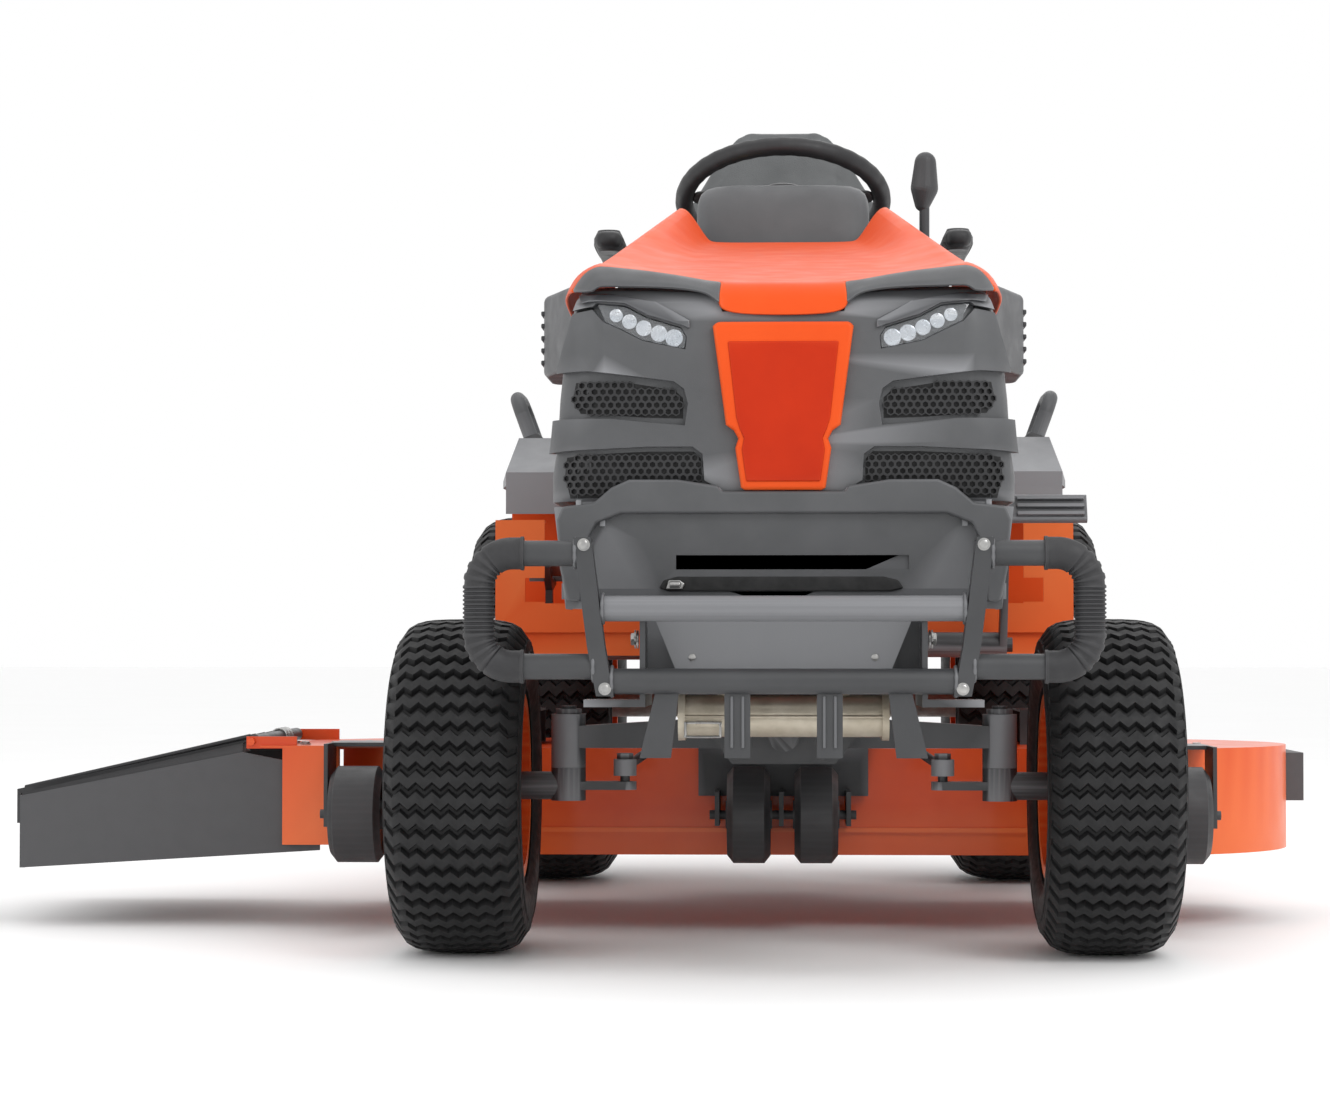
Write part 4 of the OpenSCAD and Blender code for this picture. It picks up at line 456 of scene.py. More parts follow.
def shell_panel(outline, low, high):
    """A closed outline in lateral run and height, as a plate on the shell from low to high."""
    made = bmesh.new()
    made.faces.new([made.verts.new((x, 0, z)) for x, z in outline])
    straight = 244 - CORNER
    for level in [SHELL[i][0] for i in range(1, len(SHELL))]:
        bmesh.ops.bisect_plane(made, geom=made.verts[:] + made.edges[:] + made.faces[:], plane_co=(0, 0, level),
                               plane_no=(0, 0, 1))
    for i in range(-7, 8):
        x = (straight + (abs(i) - 1) * 11) * (1 if i > 0 else -1) if i else 0
        bmesh.ops.bisect_plane(made, geom=made.verts[:] + made.edges[:] + made.faces[:], plane_co=(x, 0, 0),
                               plane_no=(1, 0, 0))
    made.verts.ensure_lookup_table()
    made.verts.index_update()
    flat = [(v.co.x, v.co.z) for v in made.verts]
    faces = [tuple(v.index for v in f.verts) for f in made.faces]
    rim = [(e.verts[0].index, e.verts[1].index, e.link_loops[0].vert.index) for e in made.edges if e.is_boundary]
    made.free()
    size = len(flat)
    points = [on_shell(x, z, high) for x, z in flat] + [on_shell(x, z, low) for x, z in flat]
    out = faces + [tuple(i + size for i in reversed(f)) for f in faces]
    for a, b, first in rim:
        start, end = (a, b) if first == a else (b, a)
        out.append((end, start, start + size, end + size))
    return points, out


SHELL_RUN = 700.0
rings = []
for z in [535, 548, 565, 600, 650, 700, 720, 735, 747, 758, 767, 774]:
    xs = [-SHELL_RUN, -SHELL_RUN / 2] + [-340 + 10 * i for i in range(69)] + [SHELL_RUN / 2, SHELL_RUN]
    rings.append([on_shell(x, z, 0) for x in xs])
size = len(rings[0])
faces = [(i * size + k, i * size + k + 1, (i + 1) * size + k + 1, (i + 1) * size + k)
         for i in range(len(rings) - 1) for k in range(size - 1)]
shell = piece("grille_shell", [([p for ring in rings for p in ring], faces)], GREY, "hood",
              replaces=("grille", "grille_mesh"))
wall = shell.modifiers.new("wall", "SOLIDIFY")
wall.thickness = 0.004
wall.offset = 1

# Raised skin of the front: brow, ribs and the middle column
FRONT = [(0, 746.6), (-68.1, 746.6), (-71.4, 758), (-84.8, 768), (-114, 770), (-160, 771), (-205.9, 772),
         (-222, 770), (-229, 762), (-233, 750.5), (-209.3, 753.4), (-205.1, 757.2), (-176.7, 753.8), (-151.6, 740.4),
         (-114, 728.7), (-107.8, 718.2), (-109, 704), (-134.9, 709), (-155.8, 713.2), (-180.9, 725.7),
         (-199.7, 734.9), (-209.3, 749.6), (-233.5, 746.4), (-240, 722.4), (-258, 679.8), (-214.3, 679.8),
         (-151.6, 672.2), (-122.4, 668.1), (-110.7, 659.7), (-106.5, 643), (-109.9, 618.8), (-151.6, 622.1),
         (-193.4, 626.3), (-262, 626.8), (-268, 589.5), (-193.4, 592.9), (-151.6, 595), (-101.5, 595),
         (-89.8, 586.6), (-88.1, 557.4), (-68.1, 545.5), (0, 545.5)]
RAISED = 13.0
piece("grille_face", both(shell_panel(FRONT, -2, RAISED)), GREY, "hood", bevel=5.0, segments=3,
              angle=50)
LAMP_LID = [(-222, 768), (-193.4, 768), (-143.3, 758), (-104, 737), (-104, 727), (-114, 730.7), (-151.6, 742.4),
            (-176.7, 755.8), (-205.1, 759.1), (-218, 758)]
piece("lamp_lids", both(shell_panel(LAMP_LID, 10, RAISED + 4.5)), GLOSS_GREY, "hood", bevel=2.2)
LENS_LINE = [(-204, 755.6), (-176.7, 752.3), (-151.6, 739), (-114, 727.4), (-108.8, 718.2), (-110, 705),
             (-134.9, 710), (-155.8, 714.2), (-180, 726.4), (-198.4, 735.6)]
piece("lamp_reflectors", both(shell_panel(LENS_LINE, -1, 3)), SILVER, "hood", bevel=0.6,
      replaces=("headlights",))
cups, bulbs = [], []
for k, (x, z, r) in enumerate(((-122, 717, 8.5), (-139, 722, 8.0), (-156, 728, 7.5), (-172, 735.5, 7.0),
                               (-187, 742.5, 6.2))):
    y = at_height(z, 2)
    cups.append(lathe([(r, -9.5), (r + 1.2, -9.0), (r + 1.2, -3), (2, -3), (2.2, -4), (r * 0.6, -5.5)],
                      (x, y, z), "y", 24))
    bulbs.append(lathe([(3.2, -3.5), (3.0, -6.0), (1.9, -7.6), (0.2, -8.2)], (x, y, z), "y", 16))
piece("lamp_cups", both(*cups), SILVER, "hood")
piece("lamp_bulbs", both(*bulbs), LED, "hood")
piece("lamp_lenses", both(shell_panel(LENS_LINE, 10.0, 12.4)), LENS, "hood", bevel=0.8)
piece("lamp_gap_lines", both(shell_panel([(-212, 753.2), (-236, 751.5), (-238.5, 744), (-233, 747.3),
                                          (-212, 750.6)], -1, 6)), MATT_BLACK, "hood", bevel=0.5)

# Perforated grilles
UPPER_MESH = [(-232, 668), (-172.5, 667), (-122, 659), (-112, 650), (-112, 627), (-152, 628), (-226, 633),
              (-236, 650)]
LOWER_MESH = [(-243, 584), (-193.4, 588), (-151.6, 590), (-100, 590), (-92, 582), (-91, 556), (-118.2, 549),
              (-174.6, 547), (-193.4, 543), (-203.9, 538), (-238, 538), (-245, 563)]


def inside(outline, x, z, margin):
    hit = False
    near = 1e9
    for (x1, z1), (x2, z2) in zip(outline, outline[1:] + outline[:1]):
        if (z1 > z) != (z2 > z) and x < x1 + (z - z1) / (z2 - z1) * (x2 - x1):
            hit = not hit
        dx, dz = x2 - x1, z2 - z1
        t = max(0.0, min(1.0, ((x - x1) * dx + (z - z1) * dz) / (dx * dx + dz * dz)))
        near = min(near, math.hypot(x - x1 - t * dx, z - z1 - t * dz))
    return hit and near > margin


HOLE_PITCH, HOLE_R = 8.6, 3.35
mesh_cells = []
for outline in (UPPER_MESH, LOWER_MESH):
    for row in range(-2, 20):
        z = min(p[1] for p in outline) + row * HOLE_PITCH * 0.866
        for k in range(-1, 24):
            x = min(p[0] for p in outline) + (k + 0.5 * (row % 2)) * HOLE_PITCH
            if not inside(outline, x, z, 2.0):
                continue
            ring = []
            for depth in (4.6, 7.4):
                for r in (HOLE_PITCH / math.sqrt(3), HOLE_R if depth > 5 else HOLE_R + 0.3):
                    ring.append([on_shell(x + r * math.sin(i * math.pi / 3), z + r * math.cos(i * math.pi / 3), depth)
                                 for i in range(6)])
            points = [p for part in ring for p in part]
            faces = []
            for i in range(6):
                n = (i + 1) % 6
                faces += [(12 + i, 12 + n, 18 + n, 18 + i), (18 + i, 18 + n, 6 + n, 6 + i), (n, i, 6 + i, 6 + n)]
            mesh_cells.append((points, faces))
piece("grille_mesh_plates", both(*mesh_cells), BLACK, "hood")
piece("grille_mesh_shadow", both(shell_panel(UPPER_MESH, 3.2, 4.3), shell_panel(LOWER_MESH, 3.2, 4.3)), MATT_BLACK,
      "hood")

# Orange centre insert: a bevelled frame and a deeper face
INSERT = [(-78.5, 729), (-74.5, 734.1), (74.5, 734.1), (78.5, 729), (63.9, 618.8), (55, 612.5), (50.1, 603.3),
          (53.5, 592.9), (47.2, 549), (43, 546.1), (-43, 546.1), (-47.2, 549), (-53.5, 592.9), (-50.1, 603.3),
          (-55, 612.5), (-63.9, 618.8)]
FACE = [(-62, 711.9), (62, 711.9), (52.4, 626.3), (48.5, 613.7), (44, 603.5), (46.4, 590.8), (41.4, 555.3),
        (-41.4, 555.3), (-46.4, 590.8), (-44, 603.5), (-48.5, 613.7), (-52.4, 626.3)]
piece("insert_frame", [shell_panel(INSERT, 10, RAISED + 10)], ORANGE, "hood", bevel=6.5, segments=4,
      angle=50, replaces=("grille_insert",))
piece("insert_face", [shell_panel(FACE, 14, RAISED + 12)], DEEP_ORANGE, "hood", bevel=2.2, segments=3,
      angle=50)

# Side scoops with louvres, and louvres on the hood's sides
scoop = [(262, 92), (309, 232), (311, 246), (311, 352), (306, 362), (262, 388)]
piece("hood_scoops", both(prism(scoop, 722, 827, "z")), DARK_GREY, "hood", bevel=7, segments=3)
slats = [prism([(240, z), (352, z), (352, z + 6), (240, z + 6)], 308, 314.5, "x") for z in range(738, 812, 16)]
piece("scoop_louvres", both(*slats), BLACK, "hood", bevel=1.5)
vents = [prism([(y, 600), (y + 30, 600), (y + 46, 676), (y + 16, 676)], 255, 262.5, "x")
         for y in range(-120, 249, 46)]
piece("side_louvres", both(*vents), DARK_GREY, "hood", bevel=2.5)

# ---------------------------------------------------------------- lower fascia
BROW = [(0, 545), (-68, 545), (-72, 551), (-118, 558), (-172, 558), (-192, 549), (-212, 532), (-247, 528),
        (-253, 513), (-249, 459), (-241, 422), (-226, 422), (-224, 480), (-209, 509), (-181, 520), (0, 520)]
RECESS = [(-228, 422), (-226, 480), (-209, 510), (-181, 521), (0, 521), (0, 422)]


def whole(half):
    return half + [(-x, z) for x, z in reversed(half) if abs(x) > 0.01]


FASCIA_Y = -336.0
brow = whole(BROW)
piece("fascia_brow", [prism(brow, FASCIA_Y - 6, FASCIA_Y + 44)], GREY, "chassis", bevel=9, segments=4,
      angle=40)
# The recess takes the darker grey as painted shade, for a face set back and turned down.
piece("fascia_recess", [prism(whole(RECESS), FASCIA_Y + 14, FASCIA_Y + 30)], DARK_GREY, "chassis",
      bevel=3)
# The slot opening is a matt black slab: painted shade where the real slot is open.
SLOT = [(-139, 437), (-134, 446), (-118, 450), (112, 450), (128, 446), (134, 437), (120, 433.5), (-128, 433.5)]
piece("fascia_slot_shade", [prism(SLOT, FASCIA_Y + 10, FASCIA_Y + 20)], MATT_BLACK, "chassis", bevel=2)
piece("fascia_latch", [prism([(-131, 436), (-113, 436), (-110, 442), (-116, 446), (-128, 446)], FASCIA_Y + 3,
                             FASCIA_Y + 13), lathe([(4, -6), (4, 6), (1, 7)], (-121, FASCIA_Y + 4, 441), "x", 16)],
      STEEL, "chassis", bevel=1)

# ---------------------------------------------------------------- brush guard
GUARD_Y = -430.0
LOOP_X, LOOP_LOW, LOOP_TOP, LOOP_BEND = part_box("guard_sleeves")[1].x * 1000 - SHIFT.x - 18, 350.0, 473.0, 36.0
for sign, side in SIDES:
    path = [(282, GUARD_Y, LOOP_TOP)]
    path += [(x, GUARD_Y, LOOP_TOP) for x in (285, 288, 290, LOOP_X - LOOP_BEND)]
    corner = [(LOOP_X - LOOP_BEND + LOOP_BEND * math.sin(a), LOOP_TOP - LOOP_BEND + LOOP_BEND * math.cos(a))
              for a in [math.pi / 2 * i / 12 for i in range(1, 13)]]
    path += [(x, GUARD_Y, z) for x, z in corner]
    steps = 22
    for i in range(1, steps):
        z = LOOP_TOP - LOOP_BEND + (LOOP_LOW - LOOP_TOP + 2 * LOOP_BEND) * i / steps
        path.append((LOOP_X, GUARD_Y, z))
    corner = [(LOOP_X - LOOP_BEND + LOOP_BEND * math.cos(a), LOOP_LOW + LOOP_BEND - LOOP_BEND * math.sin(a))
              for a in [math.pi / 2 * i / 12 for i in range(0, 13)]]
    path += [(x, GUARD_Y, z) for x, z in corner]
    path += [(x, GUARD_Y, LOOP_LOW) for x in (290, 288, 285, 282)]
    fine = curve(path, 3)
    length = len(fine)

    def sleeve_radius(i):
        if i < 4 or i > length - 5:
            return 18.6
        middle = abs(i / length - 0.5) < 0.33
        return 17.6 - (1.5 if middle and (i // 3) % 2 else 0.0)
    sleeve = tube([(sign * p.x, p.y, p.z) for p in fine], sleeve_radius, 20)
    piece(f"guard_sleeve_{side}", [sleeve], GRIP_RUBBER, "chassis", sharp=50,
          replaces=("guard_sleeves",) if side == "left" else ())
heads = []
for y in (-340, -280):
    heads += bolt((164, y, 380), "x", 9)
for z in (326, 482):
    heads += bolt((193 if z < 400 else 216, GUARD_Y - 15, z), "-y", 6)
piece("guard_bolts", both(*heads), STEEL, "chassis", sharp=40)
beads = []
for x, z in ((186, 334), (196, 413), (206, 350), (226, 473)):
    beads.append(tube([(x, GUARD_Y + 15.5 * math.cos(a), z + 15.5 * math.sin(a))
                       for a in turns(20)], lambda i: 1.9 + 0.5 * (i % 2), 8, True))
piece("guard_welds", both(*beads), PAINT_BLACK, "chassis", sharp=60)
ribs = []
for x in (44, 56):
    ribs.append(prism([(x - 1.5, 262), (x + 1.5, 262), (x + 1.5, 318), (x - 1.5, 318)], GUARD_Y - 5, GUARD_Y - 1))
piece("guard_finger_ribs", both(*ribs), PAINT_BLACK, "chassis", bevel=0.8)

# Muffler seam, clip and shield screws
clip = [(-111, -206, 284), (-75, -206, 284), (-73, -207, 282), (-73, -207, 270), (-75, -206, 268), (-111, -206, 268),
        (-113, -207, 270), (-113, -207, 282)]
piece("muffler_clip", [tube(curve(clip, 3, True), 1.6, 8, True)], STEEL, "chassis")
piece("muffler_seam", [prism([(-123, 289.5), (123, 289.5), (123, 292.5), (-123, 292.5)], -203, -99)], MUFFLER,
      "chassis", bevel=1.2)
screws = []
for x in (-100, 100):
    screws += bolt((x, -392, 360), "-y", 5)
piece("shield_screws", screws, STEEL, "chassis", sharp=40)


# ---------------------------------------------------------------- tyres and wheels
def tyre(name, centre, diameter, width, rim, body, node, rows, zigs):
    outer, half = diameter / 2 - 0.4, width / 2 - 0.5
    section = curve([(rim / 2 - 1, 0.62), (rim / 2 + 4, 0.70), (rim / 2 + (outer - rim / 2) * 0.28, 0.93),
                     (rim / 2 + (outer - rim / 2) * 0.52, 0.985), (rim / 2 + (outer - rim / 2) * 0.74, 0.95)], 4)
    flank = [(p[0], p[1] * half) for p in section]
    lug = 7.5 if diameter < 500 else 9.0
    tread_half = half * 0.93
    lateral = zigs * 2
    points, faces = [], []
    count = rows * 4
    pitch = 2 * math.pi / rows

    def ground(x):
        t = abs(x) / tread_half
        return outer - lug - (outer - rim / 2) * (0.03 * t ** 2 + 0.17 * t ** 6)
    columns = []
    for r, h in flank:
        columns.append(("side", r, -h))
    for k in range(lateral + 1):
        columns.append(("tread", None, -tread_half + 2 * tread_half * k / lateral, k))
    for r, h in reversed(flank):
        columns.append(("side", r, h))
    inner = [("side", rim / 2 + 7, half * 0.6), ("side", rim / 2 + 22, 0.0), ("side", rim / 2 + 7, -half * 0.6)]
    columns += inner
    size = len(columns)
    zig = pitch * 0.34
    for i in range(count):
        row, part = divmod(i, 4)
        for column in columns:
            shift = 0.0
            if column[0] == "tread":
                k = column[3]
                shift = zig * (1 if k % 2 else -1) * 0.5
                raised = part in (1, 2)
                r = ground(column[2]) + (lug if raised else 0.0)
                if k in (0, lateral):
                    r = ground(column[2]) + (lug * 0.55 if raised else 0.0)
                a = pitch * (row + (0.0, 0.14, 0.66, 0.80)[part]) + shift
            else:
                r = column[1]
                a = pitch * (row + part * 0.25)
                if abs(column[2]) > half * 0.9 and r > outer - (outer - rim / 2) * 0.5:
                    r += 1.2 if part in (1, 2) else -0.6
            points.append((centre[0] + column[2], centre[1] + r * math.cos(a), centre[2] + r * math.sin(a)))
    for i in range(count):
        a, b = i * size, ((i + 1) % count) * size
        for k in range(size):
            n = (k + 1) % size
            faces.append((a + k, a + n, b + n, b + k))
    piece(name, [(points, faces)], RUBBER, body, sharp=38, replaces=(node,))
    rings = []
    for sign in (-1, 1):
        for r, w in ((rim / 2 + (outer - rim / 2) * 0.2, 1.6), (rim / 2 + (outer - rim / 2) * 0.62, 1.3)):
            at = min(flank, key=lambda p: abs(p[0] - r))
            x = centre[0] + sign * (at[1] + 0.2)
            rings.append(tube([(x, centre[1] + r * math.cos(t), centre[2] + r * math.sin(t))
                               for t in turns(72)], w, 8, True))
    piece(name + "_rings", rings, RUBBER, body)


for sign, side in SIDES:
    tyre(f"tread_front_{side}", (sign * 388, 0, 203), 406, 165, 203, f"front_wheel_{side}", f"front_tyre_{side}",
         52, 8)
    tyre(f"tread_rear_{side}", (sign * 380, 1270, 292), 584, 235, 305, f"rear_wheel_{side}", f"rear_tyre_{side}",
         64, 10)
    hub_x = sign * (388 + 48)
    cap = lathe([(24, -sign * 18), (24, 0), (22, sign * 3), (15, sign * 6), (6, sign * 7), (0.2, sign * 7)],
                (hub_x, 0, 203), "x", 32)
    piece(f"front_hub_cap_{side}", [cap], BLACK, f"front_wheel_{side}", sharp=50)
    for kind, x, y, z, r in (("front", sign * 422, 0, 203, 74), ("rear", sign * 444, 1270, 292, 118)):
        stem = tube(curve([(x - sign * 8, y + r * 0.7, z + r * 0.7), (x + sign * 4, y + r * 0.7, z + r * 0.7),
                           (x + sign * 16, y + r * 0.66, z + r * 0.66)], 4), lambda i: 3.6 if i < 6 else 2.6, 12)
        piece(f"{kind}_valve_{side}", [stem], BLACK, f"{kind}_wheel_{side}")
    nuts = []
    for i in range(5):
        a = 2 * math.pi * i / 5 + 0.3
        nuts += bolt((sign * 398, 1270 + 52 * math.cos(a), 292 + 52 * math.sin(a)), "x" if sign > 0 else "-x", 9)
    piece(f"rear_wheel_bolts_{side}", nuts, STEEL, f"rear_wheel_{side}", sharp=40)

# ---------------------------------------------------------------- steering wheel
TILT = math.radians(25)
WHEEL = Matrix.Translation((0, 710, 1015)) @ Matrix.Rotation(-TILT, 4, "X")
RIM_R = 142.5
ring = [(RIM_R * math.cos(a), RIM_R * math.sin(a), 0) for a in turns(144)]


def grip(i):
    a = 2 * math.pi * i / 144
    ripple = 0.3 if abs(math.sin(a)) > 0.35 else 0.1
    return 13.0 + ripple * math.cos(36 * a)


def wheel_spoke(angle):
    c, s = math.cos(angle), math.sin(angle)
    out = []
    for r, w, z in ((20, 30, 2), (60, 22, 0), (100, 17, -1), (134, 19, -2)):
        out.append([(r * c - w * s * t, r * s + w * c * t, z + h) for t, h in
                    ((-1, -4), (-0.8, 3), (-0.3, 5), (0.3, 5), (0.8, 3), (1, -4), (0.4, -6), (-0.4, -6))])
    return skin(out)


piece("wheel_rim", [tube(ring, grip, 20, True)], BLACK, "steering_wheel", matrix=WHEEL,
      replaces=("steering_wheel",))
piece("wheel_spokes", [wheel_spoke(math.radians(a)) for a in (-8, 90, 188)], BLACK, "steering_wheel",
      subdivide=2, matrix=WHEEL)
piece("wheel_hub", [lathe([(30, -34), (44, -30), (47, -8), (45, 2), (38, 8), (34, 8.5), (33, 7.2), (31, 7.2), (29, 9),
                           (14, 12), (0.2, 12.6)], (0, 0, 0), "z", 56)], BLACK, "steering_wheel",
      matrix=WHEEL, sharp=28)
bellows = [(22 + 11 * (i / 14) + (3.2 if i % 2 else 0), -92 + 4 * i) for i in range(15)]
piece("wheel_boot", [lathe([(8, -92)] + bellows + [(20, -34)], (0, 0, 0), "z", 40)], GRIP_RUBBER, "steering_wheel",
      matrix=WHEEL, sharp=60)
piece("wheel_shaft", [lathe([(8.5, -388), (8.5, -300), (10, -298), (10, -200), (8.5, -198), (8.5, -88), (0.2, -86)],
                            (0, 0, 0), "z", 24)], STEEL, "steering_wheel", matrix=WHEEL, sharp=40)


# ---------------------------------------------------------------- dash pod
def chaikin(points):
    """The closed outline with its corners cut off twice."""
    for _ in range(2):
        out = []
        for a, b in zip(points, points[1:] + points[:1]):
            out += [(a[0] * 0.75 + b[0] * 0.25, a[1] * 0.75 + b[1] * 0.25),
                    (a[0] * 0.25 + b[0] * 0.75, a[1] * 0.25 + b[1] * 0.75)]
        points = out
    return points


dash_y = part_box("dash_cowl")[0].y * 1000 - SHIFT.y
POD = [(dash_y, 562), (dash_y, 700), (dash_y, 860), (dash_y + 14, 945), (474, 998), (500, 1011), (520, 1000),
       (600, 925), (684, 850), (699, 834), (699, 780), (668, 660), (640, 562), (520, 562)]
pod = chaikin(POD)
middle = (560.0, 790.0)
rings = []
for x, k in ((-118, 0.86), (-117, 0.90), (-113, 0.945), (-105, 0.975), (-92, 0.992), (-70, 1.0), (0, 1.0), (70, 1.0),
             (92, 0.992), (105, 0.975), (113, 0.945), (117, 0.90), (118, 0.86)):
    rings.append([(x, middle[0] + (y - middle[0]) * k, middle[1] + (z - middle[1]) * k) for y, z in pod])
piece("dash_pod", [skin(rings)], GREY, "chassis", sharp=70, replaces=("dash_cowl",))
CONSOLE = math.atan2(1012 - 835, 200)


def console(x, s, lift=0.0):
    """The point at x and s down the sloping console, lifted off its face."""
    c, d = math.cos(CONSOLE), math.sin(CONSOLE)
    return (x, 500 + s * c + lift * d, 1012 - s * d + lift * c)


ON_CONSOLE = Matrix.Rotation(-CONSOLE, 4, "X")


def console_matrix(x, s, lift=0.0):
    return Matrix.Translation(console(x, s, lift)) @ ON_CONSOLE


piece("key_bezel", [lathe([(15, -2), (15, 2), (13, 3.2), (7.5, 3.4), (7.5, -1)], (0, 0, 0), "z", 32)], CHROME,
      "chassis", matrix=console_matrix(70, 70), sharp=30)
piece("pto_collar", [lathe([(19, -2), (19, 1.5), (17, 3), (12, 3.2), (12, -1)], (0, 0, 0), "z", 32)], BLACK,
      "chassis", matrix=console_matrix(-70, 70), sharp=30)
plate = prism([(-13, -50), (13, -50), (16, -46), (16, 46), (13, 50), (-13, 50), (-16, 46), (-16, -46)], -1, 2.2, "z")
gate = prism([(-5, -42), (5, -42), (5, 42), (-5, 42)], 1.5, 3.0, "z")
piece("throttle_plate", [plate], BLACK, "chassis", bevel=1.0, matrix=console_matrix(0, 60))
piece("throttle_gate", [gate], MATT_BLACK, "chassis", bevel=0.5, matrix=console_matrix(0, 60, 0.8))
gauge = lathe([(21, -2), (21, 3), (19, 4.5), (17.5, 4), (17, 2.4), (0.2, 2.4)], (0, 0, 0), "z", 40)
piece("hour_gauge", [gauge], BLACK, "chassis", matrix=console_matrix(-68, 140), sharp=30)

# ---------------------------------------------------------------- fenders, floor and handles
mats = []
for i in range(11):
    y = 540 + i * 20
    mats.append(prism([(204, 402.6), (386, 402.6), (386, 406.5), (204, 406.5)], y, y + 9))
mats.append(prism([(198, 402.2), (392, 402.2), (392, 404.4), (198, 404.4)], 530, 762))
right_mats = []
for i in range(11):
    y = 540 + i * 20
    right_mats.append(prism([(-296, 402.6), (-190, 402.6), (-190, 406.5), (-296, 406.5)], y, y + 9))
piece("foot_mats", mats + right_mats, GRIP_RUBBER, "chassis", bevel=1.0)
screws = []
for y in (830, 1060, 1300, 1500):
    screws += bolt((398, y, 590), "x", 6)
for y in (520, 740):
    screws += bolt((397.6, y, 408), "x", 6)
piece("fender_screws", both(*screws), STEEL, "chassis", sharp=40)
ends = []
for y in (900, 1010):
    base = Vector((374, 0, 672))
    way = Vector((math.sin(math.radians(20)), 0, math.cos(math.radians(20))))
    foot = base + way * 9 + Vector((0, y, 0))
    ends.append(tube([foot, foot + way * 5, foot + way * 10], lambda i: (17, 16, 12.5)[i], 24))
piece("handle_feet", both(*ends), BLACK, "chassis", sharp=40)
piece("hitch_pin_boss", [lathe([(9.6, -4), (16, -4), (16, 4), (9.6, 4)], (0, 1504, 303), "z", 32, True)], STEEL,
      "chassis", sharp=40)

# ---------------------------------------------------------------- deck
fasteners = []
for x, y in ((-640, 372), (-600, 372), (-660, 420), (-560, 420)):
    fasteners += bolt((x, y, 241.5), "z", 6.5)
for x, y in ((500, 400), (560, 470), (420, 360), (300, 360)):
    fasteners += bolt((x, y, 238.2), "z", 6.5)
piece("deck_bolts", fasteners, STEEL, "deck", sharp=40)
ribs = []
for k in range(4):
    y = 470 + 78 * k
    ribs.append(prism([(-724, 249), (-1028, 182), (-1028, 185.5), (-724, 253.5)], y, y + 5))
ribs.append(prism([(-724, 249), (-1032, 180), (-1032, 184), (-724, 254)], 424, 432))
piece("deflector_ribs", ribs, BLACK, "deflector", bevel=1.0)
spring = [(-706 + 11.5 * math.cos(t), 560 + t * 1.5, 246 + 11.5 * math.sin(t)) for t in
          [i * math.pi / 8 for i in range(16 * 7)]]
piece("deflector_spring", [tube(spring, 1.5, 8)], STEEL, "deck")

# ---------------------------------------------------------------- seat
SEAT_Z, LEAN = 760.0, math.tan(math.radians(13))


def plump(obj, voxel, cap):
    """Cloth pressure swells the closed form, no point further than cap, and the result stays in the mesh."""
    graph = bpy.context.evaluated_depsgraph_get()
    mould = obj.modifiers.new("mould", "REMESH")
    mould.mode = "VOXEL"
    mould.voxel_size = voxel
    graph.update()
    mesh = bpy.data.meshes.new_from_object(obj.evaluated_get(graph))
    obj.modifiers.clear()
    mesh.name = obj.data.name + "_soft"
    obj.data = mesh
    start = [v.co.copy() for v in mesh.vertices]
    cloth = obj.modifiers.new("cloth", "CLOTH")
    cloth.settings.use_pressure = True
    cloth.settings.uniform_pressure_force = 4.0
    cloth.settings.effector_weights.gravity = 0.0
    cloth.settings.quality = 5
    cloth.point_cache.frame_start = 1
    cloth.point_cache.frame_end = 20
    scene = bpy.context.scene
    for step in range(1, 21):
        scene.frame_set(step)
    graph = bpy.context.evaluated_depsgraph_get()
    swollen = obj.evaluated_get(graph).data
    moved = [v.co.copy() for v in swollen.vertices]
    obj.modifiers.clear()
    for vertex, a, b in zip(mesh.vertices, start, moved):
        step = b - a
        if step.length > cap:
            step = step.normalized() * cap
        vertex.co = a + step
    scene.frame_set(1)
    mesh.shade_smooth()


def finish_soft(obj):
    """One subdivision, and smooth shading."""
    soft = obj.modifiers.new("soften", "SUBSURF")
    soft.levels = soft.render_levels = 1
    obj.data.shade_smooth()


def carve(obj, lines, depth, width, keep=None):
    """Presses seams into a soft mesh. lines are lists of tractor points; keep tests a point."""
    runs = [[place(*p) for p in line] for line in lines]
    for vertex in obj.data.vertices:
        if keep and not keep(vertex.co):
            continue
        near = 1e9
        for run in runs:
            for a, b in zip(run, run[1:]):
                d = b - a
                t = max(0.0, min(1.0, (vertex.co - a).dot(d) / max(d.dot(d), 1e-12)))
                near = min(near, (vertex.co - a - d * t).length)
        fall = math.exp(-(near * 1000 / width) ** 2)
        if fall > 0.02:
            vertex.co -= vertex.normal * depth / 1000 * fall


def rounded_slab(half_w, y0, y1, z0, z1, crown):
    """A cushion form with rounded plan corners, pulled-in sides and a crowned top."""
    rings = []
    profile = [(0.90, 0.0), (0.965, 0.10), (0.99, 0.30), (0.985, 0.55), (0.955, 0.78), (0.88, 0.93), (0.72, 1.0),
               (0.45, 1.03), (0.15, 1.05)]
    cy, hy = (y0 + y1) / 2, (y1 - y0) / 2
    for s, h in profile:
        ring = []
        for a in turns(48):
            c, d = math.cos(a), math.sin(a)
            power = 0.32 + 0.18 * h
            x = half_w * s * bend(c, power)
            y = cy + hy * s * bend(d, power)
            rise = crown * (h - 0.9) * 6 if h > 0.9 else 0
            ring.append((x, y, z0 + (z1 - z0) * min(h, 1.0) + rise))
        rings.append(ring)
    return skin(rings)


